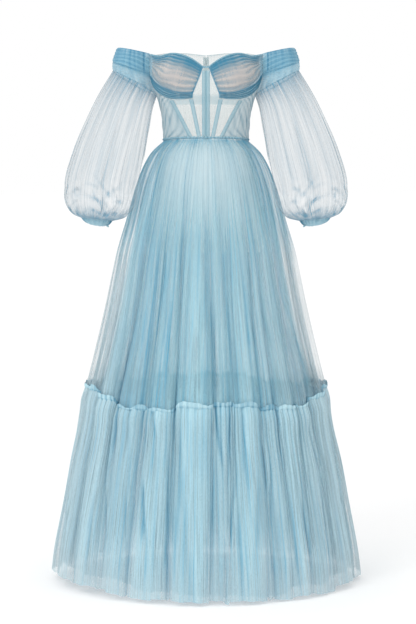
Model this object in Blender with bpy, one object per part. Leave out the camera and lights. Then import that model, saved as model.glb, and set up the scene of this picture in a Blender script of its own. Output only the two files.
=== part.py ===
"""Off-shoulder tulle maxi dress with a corset bodice, in its worn shape with no wearer.

Metres, +Z up.  The front faces -Y and the wearer's left is at +X.  The origin is the
middle of the waist seam, where the wearer's waist holds the dress.
"""
import math
import random
from collections import namedtuple

import bmesh
import bpy
from mathutils import Matrix, Vector

# Walls and gaps.
CLOTH = 0.0012          # thickness of every cloth wall
SEAM = 0.0004           # gap between pieces sewn edge to edge
LAY = 0.0006            # gap under a piece that lies on another
MIRROR = Matrix.Diagonal((-1.0, 1.0, 1.0))

# Bodice.
SECTION_POWER = 2.2     # 2 is an ellipse, more is squarer
BUST_X = 0.078          # middle of each cup
BUST_Z = 0.158
BUST_WIDE = 0.044
BUST_TALL = 0.046
BUST_RISE = 0.021
CHANNEL_HALF = 0.0043   # half width of a boning channel
CENTRE_CHANNEL_X = 0.0046
CENTRE_CHANNEL_HALF = 0.0027
SIDE_RUCHE = 0.0012     # height of the gathers on each ruched piece
CUP_RUCHE = 0.0012
DRAPE_RUCHE = 0.0018
BAND_PLEAT = 0.0022
CHANNEL_FOOT = 0.0064   # height where the channels end above the waist seam
WAIST_LOW = 0.0008
WAIST_HIGH = 0.0056
UNDERARM_Z = 0.1120
UNDER_LAP = 0.0016      # how far the panels run up behind the cups
CUP_GAP = 0.0012        # what lies next to a cup stops this far from its edge
MIDDLE_TOP_X = 0.0398   # inner end of the middle panel's top, under the cup
SIDE_SEAM_LOW = 89.8    # turn of the side seam at its foot
SIDE_SEAM_TOP = 89.6
SIDE_BEND_Z = 0.080     # where the side seam bends
CENTRE_CHANNEL_TOP = 0.1665
INNER_CHANNEL_TOP = 0.0962
OUTER_CHANNEL_TOP = 0.0950
BINDING_LOW = 0.0006    # the neck binding's height over the cup's edge
BINDING_HIGH = 0.0032
BINDING_OUT = 0.0026
BINDING_THICK = 0.0036
BAND_DRAWN = 0.55       # share of a band from which it is drawn in to the armhole

# Skirt, tier and sleeves.
SKIRT_FOLDS = 20        # the tier has twice as many
UNDERSKIRT_FOLDS = 16
SLEEVE_FOLDS = 11
HEM_Z = -1.100
TIER_SEAM_Z = -0.622
FRONT_DIP = 0.020       # the tier seam hangs lower at the front
SEAM_STEP = 0.005       # unevenness of the tier seam
HEM_STEP = 0.010        # unevenness of the raw hem
HEADING_HIGH = 0.015    # standing edge above the tier seam
HEADING_OUT = 0.009
SKIRT_CLEAR = 0.004     # air between a sleeve and the skirt
UNDERLAYER_TOP = -0.0012

# Back zip.
TAPE_HALF = 0.0078
TAPE_THICK = 0.0010
TAPE_TOP = 0.2265
TAPE_LOW = -0.110       # on one of the skirt's rings
ZIP_FLAT = 0.013        # the skirt lies flat this far each side of the zip
SLIDER_Z = 0.2140
TAB_LONG = 0.022
TAB_HALF = 0.0020
TAB_THICK = 0.0012
SLIDER_SIZE = (0.0066, 0.0028, 0.0100)
CHEEK_SIZE = (0.0010, 0.0036, 0.0030)
CHEEK_X = 0.0027
CHEEK_OUT = 0.0015      # middle of a cheek over the slider's face
PIN_OUT = 0.0021
PIN_RISE = 0.0022       # the pin's height over the slider's middle
PIN_LONG = 0.0056
PIN_RADIUS = 0.0006
EYE_RADIUS = 0.0016
EYE_HOLE = 0.0009


def table(columns, *rows):
    """A short table with named columns."""
    row_type = namedtuple("Row", columns)
    return [row_type(*row) for row in rows]


# The figure's section at each height, from the waist to the neckline.
TORSO = table(
    "z half_width front back",
    (0.000, 0.1071, 0.0850, 0.0800),
    (0.033, 0.1094, 0.0895, 0.0820),
    (0.064, 0.1122, 0.0955, 0.0852),
    (0.094, 0.1186, 0.1020, 0.0890),
    (0.112, 0.1240, 0.1060, 0.0918),
    (0.135, 0.1335, 0.1085, 0.0955),
    (0.167, 0.1450, 0.1100, 0.1000),
    (0.200, 0.1500, 0.1090, 0.1035),
    (0.240, 0.1530, 0.1060, 0.1060))

# The skirt's mean surface and how far a fold stands out from it.
SKIRT = table(
    "z half_width front back fold",
    (-0.644, 0.2935, 0.2570, 0.2590, 0.0025),
    (-0.622, 0.2895, 0.2520, 0.2540, 0.0030),
    (-0.580, 0.2790, 0.2420, 0.2440, 0.0070),
    (-0.518, 0.2640, 0.2290, 0.2310, 0.0100),
    (-0.456, 0.2495, 0.2160, 0.2170, 0.0105),
    (-0.395, 0.2365, 0.2040, 0.2050, 0.0105),
    (-0.334, 0.2260, 0.1940, 0.1940, 0.0095),
    (-0.273, 0.2150, 0.1840, 0.1830, 0.0085),
    (-0.212, 0.1995, 0.1710, 0.1680, 0.0070),
    (-0.166, 0.1885, 0.1610, 0.1580, 0.0058),
    (-0.100, 0.1710, 0.1460, 0.1400, 0.0045),
    (-0.061, 0.1560, 0.1310, 0.1250, 0.0035),
    (-0.028, 0.1360, 0.1120, 0.1060, 0.0024),
    (-0.010, 0.1180, 0.0960, 0.0905, 0.0012),
    (0.000, 0.1071, 0.0850, 0.0800, 0.0000))

TIER = table(
    "z half_width front back fold",
    (-1.100, 0.3790, 0.3280, 0.3300, 0.0155),
    (-1.038, 0.3735, 0.3230, 0.3250, 0.0150),
    (-0.915, 0.3540, 0.3050, 0.3070, 0.0135),
    (-0.793, 0.3315, 0.2850, 0.2870, 0.0115),
    (-0.732, 0.3170, 0.2740, 0.2760, 0.0105),
    (-0.671, 0.3030, 0.2640, 0.2660, 0.0085),
    (-0.644, 0.2960, 0.2590, 0.2610, 0.0050))

UNDERSKIRT = table(
    "z half_width front back fold",
    (-0.612, 0.2560, 0.2200, 0.2220, 0.0080),
    (-0.450, 0.2140, 0.1820, 0.1820, 0.0080),
    (-0.250, 0.1790, 0.1500, 0.1480, 0.0060),
    (-0.100, 0.1500, 0.1240, 0.1180, 0.0040),
    (-0.030, 0.1260, 0.1020, 0.0960, 0.0015),
    (UNDERLAYER_TOP, 0.1057, 0.0836, 0.0786, 0.0000))

SLIP = table(
    "z half_width front back fold",
    (-0.282, 0.1400, 0.1120, 0.1160, 0.0),
    (-0.120, 0.1330, 0.1060, 0.1060, 0.0),
    (-0.030, 0.1150, 0.0920, 0.0870, 0.0),
    (UNDERLAYER_TOP, 0.1041, 0.0820, 0.0770, 0.0))

# Rings of a sleeve from the cuff up: the outermost and innermost points in the front
# view, how far in front of the body's middle the ring lies, and half its depth.
SLEEVE = table(
    "outer_x outer_z inner_x inner_z mid_y half_depth fold",
    (0.3107, -0.1978, 0.2355, -0.2054, -0.070, 0.0360, 0.0008),
    (0.3310, -0.1880, 0.2080, -0.1975, -0.070, 0.0620, 0.0040),
    (0.3480, -0.1640, 0.1810, -0.1740, -0.069, 0.0800, 0.0055),
    (0.3520, -0.1150, 0.1720, -0.1230, -0.064, 0.0885, 0.0070),
    (0.3330, -0.0330, 0.1600, -0.0570, -0.050, 0.0865, 0.0068),
    (0.2970, 0.0611, 0.1460, 0.0307, -0.026, 0.0750, 0.0045),
    (0.2675, 0.1238, 0.1370, 0.0835, -0.013, 0.0660, 0.0025),
    (0.2355, 0.1735, 0.1270, 0.1125, -0.004, 0.0600, 0.0006))

CUFF = table(
    "outer_x outer_z inner_x inner_z mid_y half_depth",
    (0.3050, -0.2120, 0.2415, -0.2190, -0.070, 0.0335),
    (0.3105, -0.1984, 0.2357, -0.2060, -0.070, 0.0358))

# Rings of an off-shoulder band, of which only the part outside the body is used.
# reach is how far round from its outermost point each row runs, in degrees.
BAND = table(
    "outer_x outer_z inner_x inner_z mid_y half_depth reach",
    (0.2355, 0.1740, 0.1270, 0.1130, -0.004, 0.0600, 148.0),
    (0.2375, 0.1900, 0.1280, 0.1420, -0.003, 0.0615, 138.0),
    (0.2345, 0.2080, 0.1290, 0.1720, -0.002, 0.0615, 131.0),
    (0.2290, 0.2230, 0.1295, 0.1960, -0.001, 0.0600, 127.0),
    (0.2244, 0.2344, 0.1300, 0.2130, 0.000, 0.0585, 125.0))

# Each cup from its inner end to its outer end: lower edge and neckline.
CUP = table(
    "u foot_x foot_z top_x top_z",
    (0.0, 0.0317, 0.1093, 0.0066, 0.1745),
    (0.2, 0.0560, 0.1105, 0.0330, 0.1935),
    (0.4, 0.0800, 0.1170, 0.0600, 0.2055),
    (0.6, 0.1030, 0.1290, 0.0850, 0.2090),
    (0.8, 0.1230, 0.1465, 0.1130, 0.2050),
    (1.0, 0.1382, 0.1670, 0.1398, 0.2125))

# The gathered drape under each cup, from the middle to the armhole.
DRAPE = table(
    "u low_x low_z",
    (0.0, 0.0325, 0.0996),
    (0.2, 0.0560, 0.0972),
    (0.4, 0.0800, 0.0990),
    (0.6, 0.1020, 0.1075),
    (0.8, 0.1195, 0.1235),
    (1.0, 0.1315, 0.1450))

# Armhole edges, as the turn round the body at each height.
ARMHOLE = table(
    "z front back",
    (0.112, 89.0, 91.0),
    (0.122, 84.5, 94.5),
    (0.135, 79.5, 99.0),
    (0.150, 75.5, 103.5),
    (0.167, 72.8, 107.5),
    (0.190, 71.0, 110.5),
    (0.220, 69.8, 112.0))

# Top edge of the front side panel and of the back, by turn round the body.
SIDE_TOP = table(
    "turn z",
    (44.0, 0.1243),
    (50.0, 0.1303),
    (56.0, 0.1385),
    (62.0, 0.1477),
    (68.5, 0.1600),
    (72.0, 0.1590),
    (76.0, 0.1475),
    (82.0, 0.1270),
    (89.6, UNDERARM_Z))

BACK_TOP = table(
    "turn z",
    (90.4, UNDERARM_Z),
    (95.0, 0.1215),
    (100.0, 0.1365),
    (105.0, 0.1535),
    (109.0, 0.1750),
    (111.6, 0.2170),
    (122.0, 0.2235),
    (145.0, 0.2290),
    (180.0, 0.2320))

# Seams of the front panels: where each boning channel starts and ends.
INNER_SEAM = table("x z", (0.0162, SEAM), (0.0376, 0.1040))
OUTER_SEAM = table("x z", (0.0360, SEAM), (0.0817, 0.0915), (0.0960, 0.1262))


def clear_scene():
    for item in list(bpy.data.objects):
        bpy.data.objects.remove(item, do_unlink=True)


def cloth(name, red, green, blue, roughness=0.85, metallic=0.0):
    """A plain Principled material; the colour is linear."""
    paint = bpy.data.materials.new(name)
    paint.use_nodes = True
    shader = paint.node_tree.nodes["Principled BSDF"]
    shader.inputs["Base Color"].default_value = (red, green, blue, 1.0)
    shader.inputs["Roughness"].default_value = roughness
    shader.inputs["Metallic"].default_value = metallic
    return paint


def read(rows, key, at, column):
    """A column's value on the smooth curve through a table's rows, keys rising."""
    keys = [getattr(row, key) for row in rows]
    values = [getattr(row, column) for row in rows]
    if at <= keys[0]:
        return values[0]
    if at >= keys[-1]:
        return values[-1]
    low = max(i for i in range(len(keys) - 1) if keys[i] <= at)

    def slope(i):
        before = max(i - 1, 0)
        after = min(i + 1, len(keys) - 1)
        return (values[after] - values[before]) / (keys[after] - keys[before])

    span = keys[low + 1] - keys[low]
    s = (at - keys[low]) / span
    start = (2 * s**3 - 3 * s**2 + 1) * values[low] + (s**3 - 2 * s**2 + s) * span * slope(low)
    end = (3 * s**2 - 2 * s**3) * values[low + 1] + (s**3 - s**2) * span * slope(low + 1)
    return start + end


def mix(a, b, share):
    return a + (b - a) * share


def ease(share):
    """0 to 1 with soft ends."""
    share = min(max(share, 0.0), 1.0)
    return share * share * (3.0 - 2.0 * share)


def inside(share, rim):
    """0 at both ends of a piece, 1 where it is a rim's width from them."""
    return ease(share / rim) * ease((1.0 - share) / rim)


def spaced(low, high, count):
    return [mix(low, high, i / (count - 1)) for i in range(count)]


def curved(turn, half_width, front, back, power):
    """Plan point and outward plan direction of a section at a turn from the front middle."""
    angle = math.radians(turn)
    s = math.sin(angle)
    c = math.cos(angle)
    depth = front if c > 0.0 else back
    x = math.copysign(abs(s) ** (2.0 / power), s) * half_width
    y = -math.copysign(abs(c) ** (2.0 / power), c) * depth
    out_x = math.copysign((abs(x) / half_width) ** (power - 1.0), x) / half_width
    out_y = math.copysign((abs(y) / depth) ** (power - 1.0), y) / depth
    return Vector((x, y, 0.0)), Vector((out_x, out_y, 0.0)).normalized()


def torso(turn, z, out=0.0):
    """A point of the bodice's form, moved out from it."""
    place, outward = curved(
        turn, read(TORSO, "z", z, "half_width"), read(TORSO, "z", z, "front"),
        read(TORSO, "z", z, "back"), SECTION_POWER)
    across = (abs(place.x) - BUST_X) / BUST_WIDE
    along = (z - BUST_Z) / BUST_TALL
    facing = ease(math.cos(math.radians(turn)) / 0.3)
    bust = BUST_RISE * facing * math.exp(-across * across - along * along)
    return place + outward * (bust + out) + Vector((0.0, 0.0, z))


def turn_of(x, z):
    """The turn at which the bodice's form reaches a place across the front."""
    share = min(abs(x) / read(TORSO, "z", z, "half_width"), 1.0)
    return math.degrees(math.asin(share ** (SECTION_POWER / 2.0)))


def on_front(x, z, out=0.0):
    return torso(turn_of(x, z), z, out)


def normals(rows, wraps):
    """Outward directions of a grid whose rows rise and whose columns run anticlockwise."""
    result = []
    last_row = len(rows) - 1
    count = len(rows[0])
    for r in range(len(rows)):
        line = []
        for c in range(count):
            if wraps:
                across = rows[r][(c + 1) % count] - rows[r][c - 1]
            else:
                across = rows[r][min(c + 1, count - 1)] - rows[r][max(c - 1, 0)]
            up = rows[min(r + 1, last_row)][c] - rows[max(r - 1, 0)][c]
            line.append(across.cross(up).normalized())
        result.append(line)
    return result


def moved(rows, directions, distance):
    return [[point + way * distance for point, way in zip(line, ways)]
            for line, ways in zip(rows, directions)]


def raised(rows, directions, relief):
    """Outer points lifted by relief(row share, column share)."""
    top = len(rows) - 1
    side = len(rows[0]) - 1
    return [[point + way * relief(r / top, c / side)
             for c, (point, way) in enumerate(zip(line, ways))]
            for r, (line, ways) in enumerate(zip(rows, directions))]


def solid(name, outer, inner, wraps, paint):
    """One closed wall between an outer and an inner grid of points."""
    mesh = bpy.data.meshes.new(name)
    shape = bmesh.new()
    skins = [[[shape.verts.new(point) for point in line] for line in skin]
             for skin in (outer, inner)]
    rows = len(outer)
    count = len(outer[0])
    steps = count if wraps else count - 1
    for skin in skins:
        for r in range(rows - 1):
            for c in range(steps):
                n = (c + 1) % count
                shape.faces.new((skin[r][c], skin[r][n], skin[r + 1][n], skin[r + 1][c]))
    near, far = skins
    for r in (0, rows - 1):
        for c in range(steps):
            n = (c + 1) % count
            shape.faces.new((near[r][c], near[r][n], far[r][n], far[r][c]))
    if not wraps:
        for c in (0, count - 1):
            for r in range(rows - 1):
                shape.faces.new((near[r][c], near[r + 1][c], far[r + 1][c], far[r][c]))
    bmesh.ops.recalc_face_normals(shape, faces=shape.faces)
    shape.to_mesh(mesh)
    shape.free()
    mesh.shade_smooth()
    mesh.set_sharp_from_angle(angle=math.radians(50.0))
    mesh.materials.append(paint)
    item = bpy.data.objects.new(name, mesh)
    bpy.context.scene.collection.objects.link(item)
    return item


def wall(name, rows, paint, wraps=False, thick=CLOTH, relief=None):
    """A cloth wall inward from rows of points, with any ruching raised outside it."""
    ways = normals(rows, wraps)
    inner = moved(rows, ways, -thick)
    outer = raised(rows, ways, relief) if relief else rows
    return solid(name, outer, inner, wraps, paint)


def mirrored(rows):
    return [[MIRROR @ point for point in reversed(line)] for line in rows]


def pair(name, rows, paint, wraps=False, thick=CLOTH, relief=None):
    """The wearer's left piece and its mirror image."""
    def flipped(row_share, column_share):
        return relief(row_share, 1.0 - column_share)

    wall(name + "_left", rows, paint, wraps, thick, relief)
    wall(name + "_right", mirrored(rows), paint, wraps, thick, flipped if relief else None)


def panel(edges, rows_below, rows_above):
    """Rows of (turn, z) across a panel whose columns each bend once on their way up."""
    shares = spaced(0.0, 1.0, rows_below)
    upper = spaced(0.0, 1.0, rows_above)[1:]
    result = []
    for share in shares:
        result.append([(mix(low[0], mid[0], share), mix(low[1], mid[1], share))
                       for low, mid, top in edges])
    for share in upper:
        result.append([(mix(mid[0], top[0], share), mix(mid[1], top[1], share))
                       for low, mid, top in edges])
    return result


def placed(rows, out=0.0):
    return [[torso(turn, z, out) for turn, z in line] for line in rows]


def seam_point(seam, share_up, shift):
    """(turn, z) on a front seam, shifted across it by a small distance."""
    count = len(seam) - 1
    step = min(int(share_up * count), count - 1)
    share = share_up * count - step
    z = mix(seam[step].z, seam[step + 1].z, share)
    x = mix(seam[step].x, seam[step + 1].x, share) + shift
    return turn_of(x, z), z


def cup_foot(x):
    return read(CUP, "foot_x", x, "foot_z")


def build_front_panels(paint):
    """Corset panels from the front middle to the side seam."""
    half = SEAM / 2.0
    bend_z = INNER_SEAM[1].z
    centre = []
    for share in spaced(0.0, 1.0, 4):
        low_x = mix(half, INNER_SEAM[0].x - half, share)
        mid_x = mix(half, INNER_SEAM[1].x - half, share)
        top_x = mix(half, CUP[0].top_x - SEAM, share)
        top_z = CUP[0].top_z - CUP_GAP
        centre.append(((turn_of(low_x, SEAM), SEAM), (turn_of(mid_x, bend_z), bend_z),
                       (turn_of(top_x, top_z), top_z)))
    pair("front_centre_panel", placed(panel(centre, 5, 4)), paint)

    middle = []
    for share in spaced(0.0, 1.0, 5):
        low_x = mix(INNER_SEAM[0].x + half, OUTER_SEAM[0].x - half, share)
        mid_x = mix(INNER_SEAM[1].x + half, OUTER_SEAM[1].x - half, share)
        mid_z = mix(bend_z, OUTER_SEAM[1].z, share)
        top_x = mix(MIDDLE_TOP_X, OUTER_SEAM[2].x - half, share)
        top_z = OUTER_SEAM[2].z if share == 1.0 else cup_foot(top_x) + UNDER_LAP
        middle.append(((turn_of(low_x, SEAM), SEAM), (turn_of(mid_x, mid_z), mid_z),
                       (turn_of(top_x, top_z), top_z)))
    pair("front_middle_panel", placed(panel(middle, 5, 3)), paint)


def build_side_panels(paint):
    """Ruched side panels: crossing gathers raised over a plain inside."""
    half = SEAM / 2.0
    start = [seam_point(OUTER_SEAM, share, half) for share in (0.0, 0.5, 1.0)]
    edges = []
    for share in spaced(0.0, 1.0, 9):
        low_turn = mix(start[0][0], SIDE_SEAM_LOW, share)
        mid_turn = mix(start[1][0], SIDE_SEAM_LOW, share ** 1.1)
        mid_z = mix(start[1][1], SIDE_BEND_Z, share)
        top_turn = mix(start[2][0], SIDE_SEAM_TOP, share)
        top_z = read(SIDE_TOP, "turn", top_turn, "z")
        edges.append(((low_turn, SEAM), (mid_turn, mid_z), (top_turn, top_z)))

    def ruching(up, across):
        rim = ease(up / 0.12) * ease((0.66 - up) / 0.12)
        rim *= ease(across / 0.125 - 1.0) * ease((1 - across) / 0.125)
        wave = math.sin(math.tau * (4.0 * up + 1.3 * across + 0.6 * math.sin(3.0 * across)))
        return SIDE_RUCHE * rim * (0.6 + wave * 0.6)

    pair("side_panel", placed(panel(edges, 7, 4)), paint, relief=ruching)


def build_back_panels(paint):
    """Plain sheer back from the side seams to the back zip."""
    edges = []
    for turn in (90.3, 95.0, 100.0, 105.0, 109.0, 111.8, 125.0, 143.0, 162.0, 179.8):
        top = read(BACK_TOP, "turn", turn, "z")
        edges.append(((turn, SEAM), (turn, top * 0.5), (turn, top)))
    pair("back_panel", placed(panel(edges, 3, 3)), paint)


def build_channels(paint):
    """Boning channels stitched over the front seams."""
    out = LAY + CLOTH

    def strip(name, places, half):
        rows = [[on_front(x + side, z, out) for side in (-half, 0.0, half)] for x, z in places]
        pair(name, rows, paint)

    heights = spaced(CHANNEL_FOOT, CENTRE_CHANNEL_TOP, 8)
    strip("centre_channel", [(CENTRE_CHANNEL_X, z) for z in heights], CENTRE_CHANNEL_HALF)

    def diagonal(seam, top_z):
        start, end = seam[0], seam[1]
        heights = spaced(CHANNEL_FOOT, top_z, 6)
        return [(mix(start.x, end.x, (z - start.z) / (end.z - start.z)), z) for z in heights]

    strip("inner_channel", diagonal(INNER_SEAM, INNER_CHANNEL_TOP), CHANNEL_HALF)
    strip("outer_channel", diagonal(OUTER_SEAM, OUTER_CHANNEL_TOP), CHANNEL_HALF)


def cup_point(u, v, out):
    """A point on a cup, u from its inner to its outer end and v from foot to neckline."""
    x = mix(read(CUP, "u", u, "foot_x"), read(CUP, "u", u, "top_x"), v)
    z = mix(read(CUP, "u", u, "foot_z"), read(CUP, "u", u, "top_z"), v)
    return on_front(x, z, out)


def build_cups(outer_paint, lining_paint, binding_paint):
    """Ruched tulle cups over a flesh-toned lining, bound at the neckline."""
    columns = spaced(0.0, 1.0, 11)
    rows = [[cup_point(u, v, LAY + CLOTH) for u in columns] for v in spaced(0.0, 1.0, 12)]

    def ruching(up, across):
        rim = inside(up, 0.12) * inside(across, 0.1)
        wave = math.sin(math.tau * (5.0 * up + 0.35 * math.sin(4.0 * across) + 0.3 * across))
        return CUP_RUCHE * rim * (0.7 + wave * 0.7)

    pair("cup", rows, outer_paint, relief=ruching)

    inset = [[cup_point(u, v, -SEAM) for u in spaced(0.05, 0.985, 8)]
             for v in spaced(0.09, 0.955, 7)]
    pair("cup_lining", inset, lining_paint)

    edge = [(0.0006, CUP[0].top_z - 0.0006)]
    edge += [(read(CUP, "u", u, "top_x"), read(CUP, "u", u, "top_z")) for u in columns]
    strip = [[on_front(x, z + rise, BINDING_OUT) for x, z in edge]
             for rise in (BINDING_LOW, BINDING_HIGH)]
    pair("neck_binding", strip, binding_paint, thick=BINDING_THICK)


def build_drapes(paint):
    """Gathered tulle drawn from the middle channels under each cup to the armhole."""
    out = LAY + SEAM + CLOTH
    rows = []
    for v in spaced(0.0, 1.0, 6):
        line = []
        for u in spaced(0.0, 1.0, 11):
            top_x = read(CUP, "u", u, "foot_x")
            top_z = read(CUP, "u", u, "foot_z") - CUP_GAP
            x = mix(read(DRAPE, "u", u, "low_x"), top_x, v)
            z = mix(read(DRAPE, "u", u, "low_z"), top_z, v)
            line.append(on_front(x, z, out))
        rows.append(line)

    def gathers(up, across):
        rim = inside(up, 0.2) * inside(across, 0.08)
        wave = math.cos(math.tau * (2.5 * up + 0.4 * math.sin(2.5 * across)))
        return DRAPE_RUCHE * rim * (0.6 + 0.5 * wave)

    pair("underbust_drape", rows, paint, relief=gathers)


def build_waist(paint):
    """Narrow gathered waist seam, open at the back zip."""
    gap = math.degrees(math.asin(((TAPE_HALF + SEAM * 2) / TORSO[0].half_width) ** 1.1))
    end = 180.0 - gap
    rows = [[torso(turn, z, LAY + CLOTH) for turn in spaced(-end, end, 53)]
            for z in (WAIST_LOW, WAIST_HIGH)]
    wall("waist_seam", rows, paint)


def arm_ring(row, turn, power=2.3):
    """A point of an arm ring; turn 0 is its outermost point and +90 its back."""
    outer = Vector((row.outer_x, row.mid_y, row.outer_z))
    inner = Vector((row.inner_x, row.mid_y, row.inner_z))
    centre = (outer + inner) / 2.0
    c = math.cos(math.radians(turn))
    s = math.sin(math.radians(turn))
    across = math.copysign(abs(c) ** (2.0 / power), c)
    depth = math.copysign(abs(s) ** (2.0 / power), s)
    return centre + (outer - centre) * across + Vector((0.0, row.half_depth * depth, 0.0))


def build_bands(paint):
    """Pleated off-shoulder bands round the outside of each arm, armhole to armhole."""
    columns = spaced(-1.0, 1.0, 19)
    rows = []
    for row in BAND:
        ring = [arm_ring(row, row.reach * share) for share in columns]
        ends = []
        for point, column in ((ring[0], "front"), (ring[-1], "back")):
            step = 0.8 if column == "front" else -0.8
            turn = read(ARMHOLE, "z", point.z, column) + step
            ends.append(torso(turn, point.z, LAY) - point)
        line = []
        for share, point in zip(columns, ring):
            near = ease((-share - BAND_DRAWN) / (1.0 - BAND_DRAWN))
            far = ease((share - BAND_DRAWN) / (1.0 - BAND_DRAWN))
            line.append(point + ends[0] * near + ends[1] * far)
        rows.append(line)
    fine = []
    for low, high in zip(rows, rows[1:]):
        for share in (0.0, 0.5):
            fine.append([mix(a, b, share) for a, b in zip(low, high)])
    fine.append(rows[-1])

    def pleats(up, across):
        rim = inside(up, 0.08) * inside(across, 0.06)
        wave = math.cos(math.tau * (4.0 * up + 0.25 * math.sin(9.0 * across)))
        return BAND_PLEAT * rim * (0.55 + 0.55 * wave)

    pair("shoulder_band", fine, paint, relief=pleats)


def skirt_bound(z, clear):
    """Half width and half depth of a clear space round the skirt."""
    fold = read(SKIRT, "z", z, "fold")
    half_width = read(SKIRT, "z", z, "half_width") + fold + clear
    return half_width, read(SKIRT, "z", z, "front") + fold + clear


def clear_of_skirt(point):
    """A sleeve's point, pushed straight out where it would sink into the skirt."""
    if point.z > 0.0:
        return point
    half_width, depth = skirt_bound(point.z, SKIRT_CLEAR)
    reach = math.hypot(point.x / half_width, point.y / depth)
    if reach >= 1.0:
        return point
    return Vector((point.x / reach, point.y / reach, point.z))


def uneven(count, low, high, rng):
    return [rng.uniform(low, high) for _ in range(count)]


def build_sleeves(paint, cuff_paint):
    """Balloon sleeves gathered to a narrow elastic cuff."""
    rng = random.Random(11)
    strength = uneven(SLEEVE_FOLDS, 0.55, 1.25, rng)
    width = uneven(SLEEVE_FOLDS, 0.75, 1.25, rng)
    total = sum(width)
    turns = []
    shape = []
    start = -180.0
    for fold in range(SLEEVE_FOLDS):
        span = 360.0 * width[fold] / total
        for quarter, rise in enumerate((1.0, 0.1, -0.9, -0.2)):
            turns.append(start + span * quarter / 4.0)
            shape.append(rise * strength[fold])
        start += span
    rows = []
    for row in SLEEVE:
        line = []
        centre = (arm_ring(row, 0.0) + arm_ring(row, 180.0)) / 2.0
        for turn, rise in zip(turns, shape):
            point = arm_ring(row, turn)
            outward = (point - centre).normalized()
            line.append(clear_of_skirt(point + outward * row.fold * rise))
        rows.append(line)
    pair("sleeve", rows, paint, wraps=True)
    band = [[arm_ring(row, turn) for turn in spaced(-180.0, 162.0, 20)] for row in CUFF]
    pair("cuff", band, cuff_paint, wraps=True)


def fold_columns(folds, rng):
    """Turns and rises of uneven folds, four columns each, evenly split into quarters."""
    turns = []
    rises = []
    for quarter in range(4):
        width = uneven(folds // 4, 0.7, 1.3, rng)
        start = -180.0 + 90.0 * quarter
        for fold in width:
            span = 90.0 * fold / sum(width)
            strength = rng.uniform(0.5, 1.2)
            for step, rise in enumerate((0.0, 1.0, rng.uniform(-0.3, 0.4), -1.0)):
                turns.append(start + span * step / 4.0)
                rises.append(rise * strength)
            start += span
    return turns, rises


def gored(rows_table, z, turn, rise):
    """A point on a folded skirt surface."""
    place, outward = curved(
        turn, read(rows_table, "z", z, "half_width"), read(rows_table, "z", z, "front"),
        read(rows_table, "z", z, "back"), 2.0)
    fold = read(rows_table, "z", z, "fold") * rise
    return place + outward * fold + Vector((0.0, 0.0, z))


def tier_seam(turn, step):
    """Height of the uneven seam between skirt and tier."""
    front = max(math.cos(math.radians(turn)), 0.0)
    return TIER_SEAM_Z - FRONT_DIP * front * front + SEAM_STEP * step


def zip_calm(place, z):
    """0 on the flat strip beside the zip, 1 away from it."""
    if z < TAPE_LOW - 0.06 or place.y < 0.0:
        return 1.0
    return ease((abs(place.x) - ZIP_FLAT) / 0.03)


def arc(outer, inner, first, last):
    """The columns of a full ring between two seams, with half a seam gap at each end."""
    def cut(rows):
        count = len(rows[0])
        result = []
        for line in rows:
            part = [line[c % count].copy() for c in range(first, last + 1)]
            part[0] += (part[1] - part[0]).normalized() * SEAM / 2.0
            part[-1] += (part[-2] - part[-1]).normalized() * SEAM / 2.0
            result.append(part)
        return result

    return cut(outer), cut(inner)


def build_skirt(paint):
    """Gathered outer skirt: a front and two backs, ending at the tier seam."""
    rng = random.Random(5)
    turns, rises = fold_columns(SKIRT_FOLDS, rng)
    steps = [0.0] + uneven(len(turns) - 1, -1.0, 1.0, rng)
    heights = (None, -0.500, -0.340, -0.200, TAPE_LOW, -0.035, -0.012, -SEAM)
    rows = []
    for height in heights:
        line = []
        for turn, rise, step in zip(turns, rises, steps):
            z = tier_seam(turn, step) if height is None else height
            flat = gored(SKIRT, z, turn, 0.0)
            line.append(gored(SKIRT, z, turn, rise * zip_calm(flat, z)))
        rows.append(line)
    ways = normals(rows, True)
    inner = moved(rows, ways, -CLOTH)
    quarter = len(turns) // 4
    for name, first, last in (("skirt_front", quarter, 3 * quarter),
                              ("skirt_back_right", 0, quarter),
                              ("skirt_back_left", 3 * quarter, 4 * quarter)):
        near, far = arc(rows, inner, first, last)
        solid(name, near, far, False, paint)
    return turns, rows, ways


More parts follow.
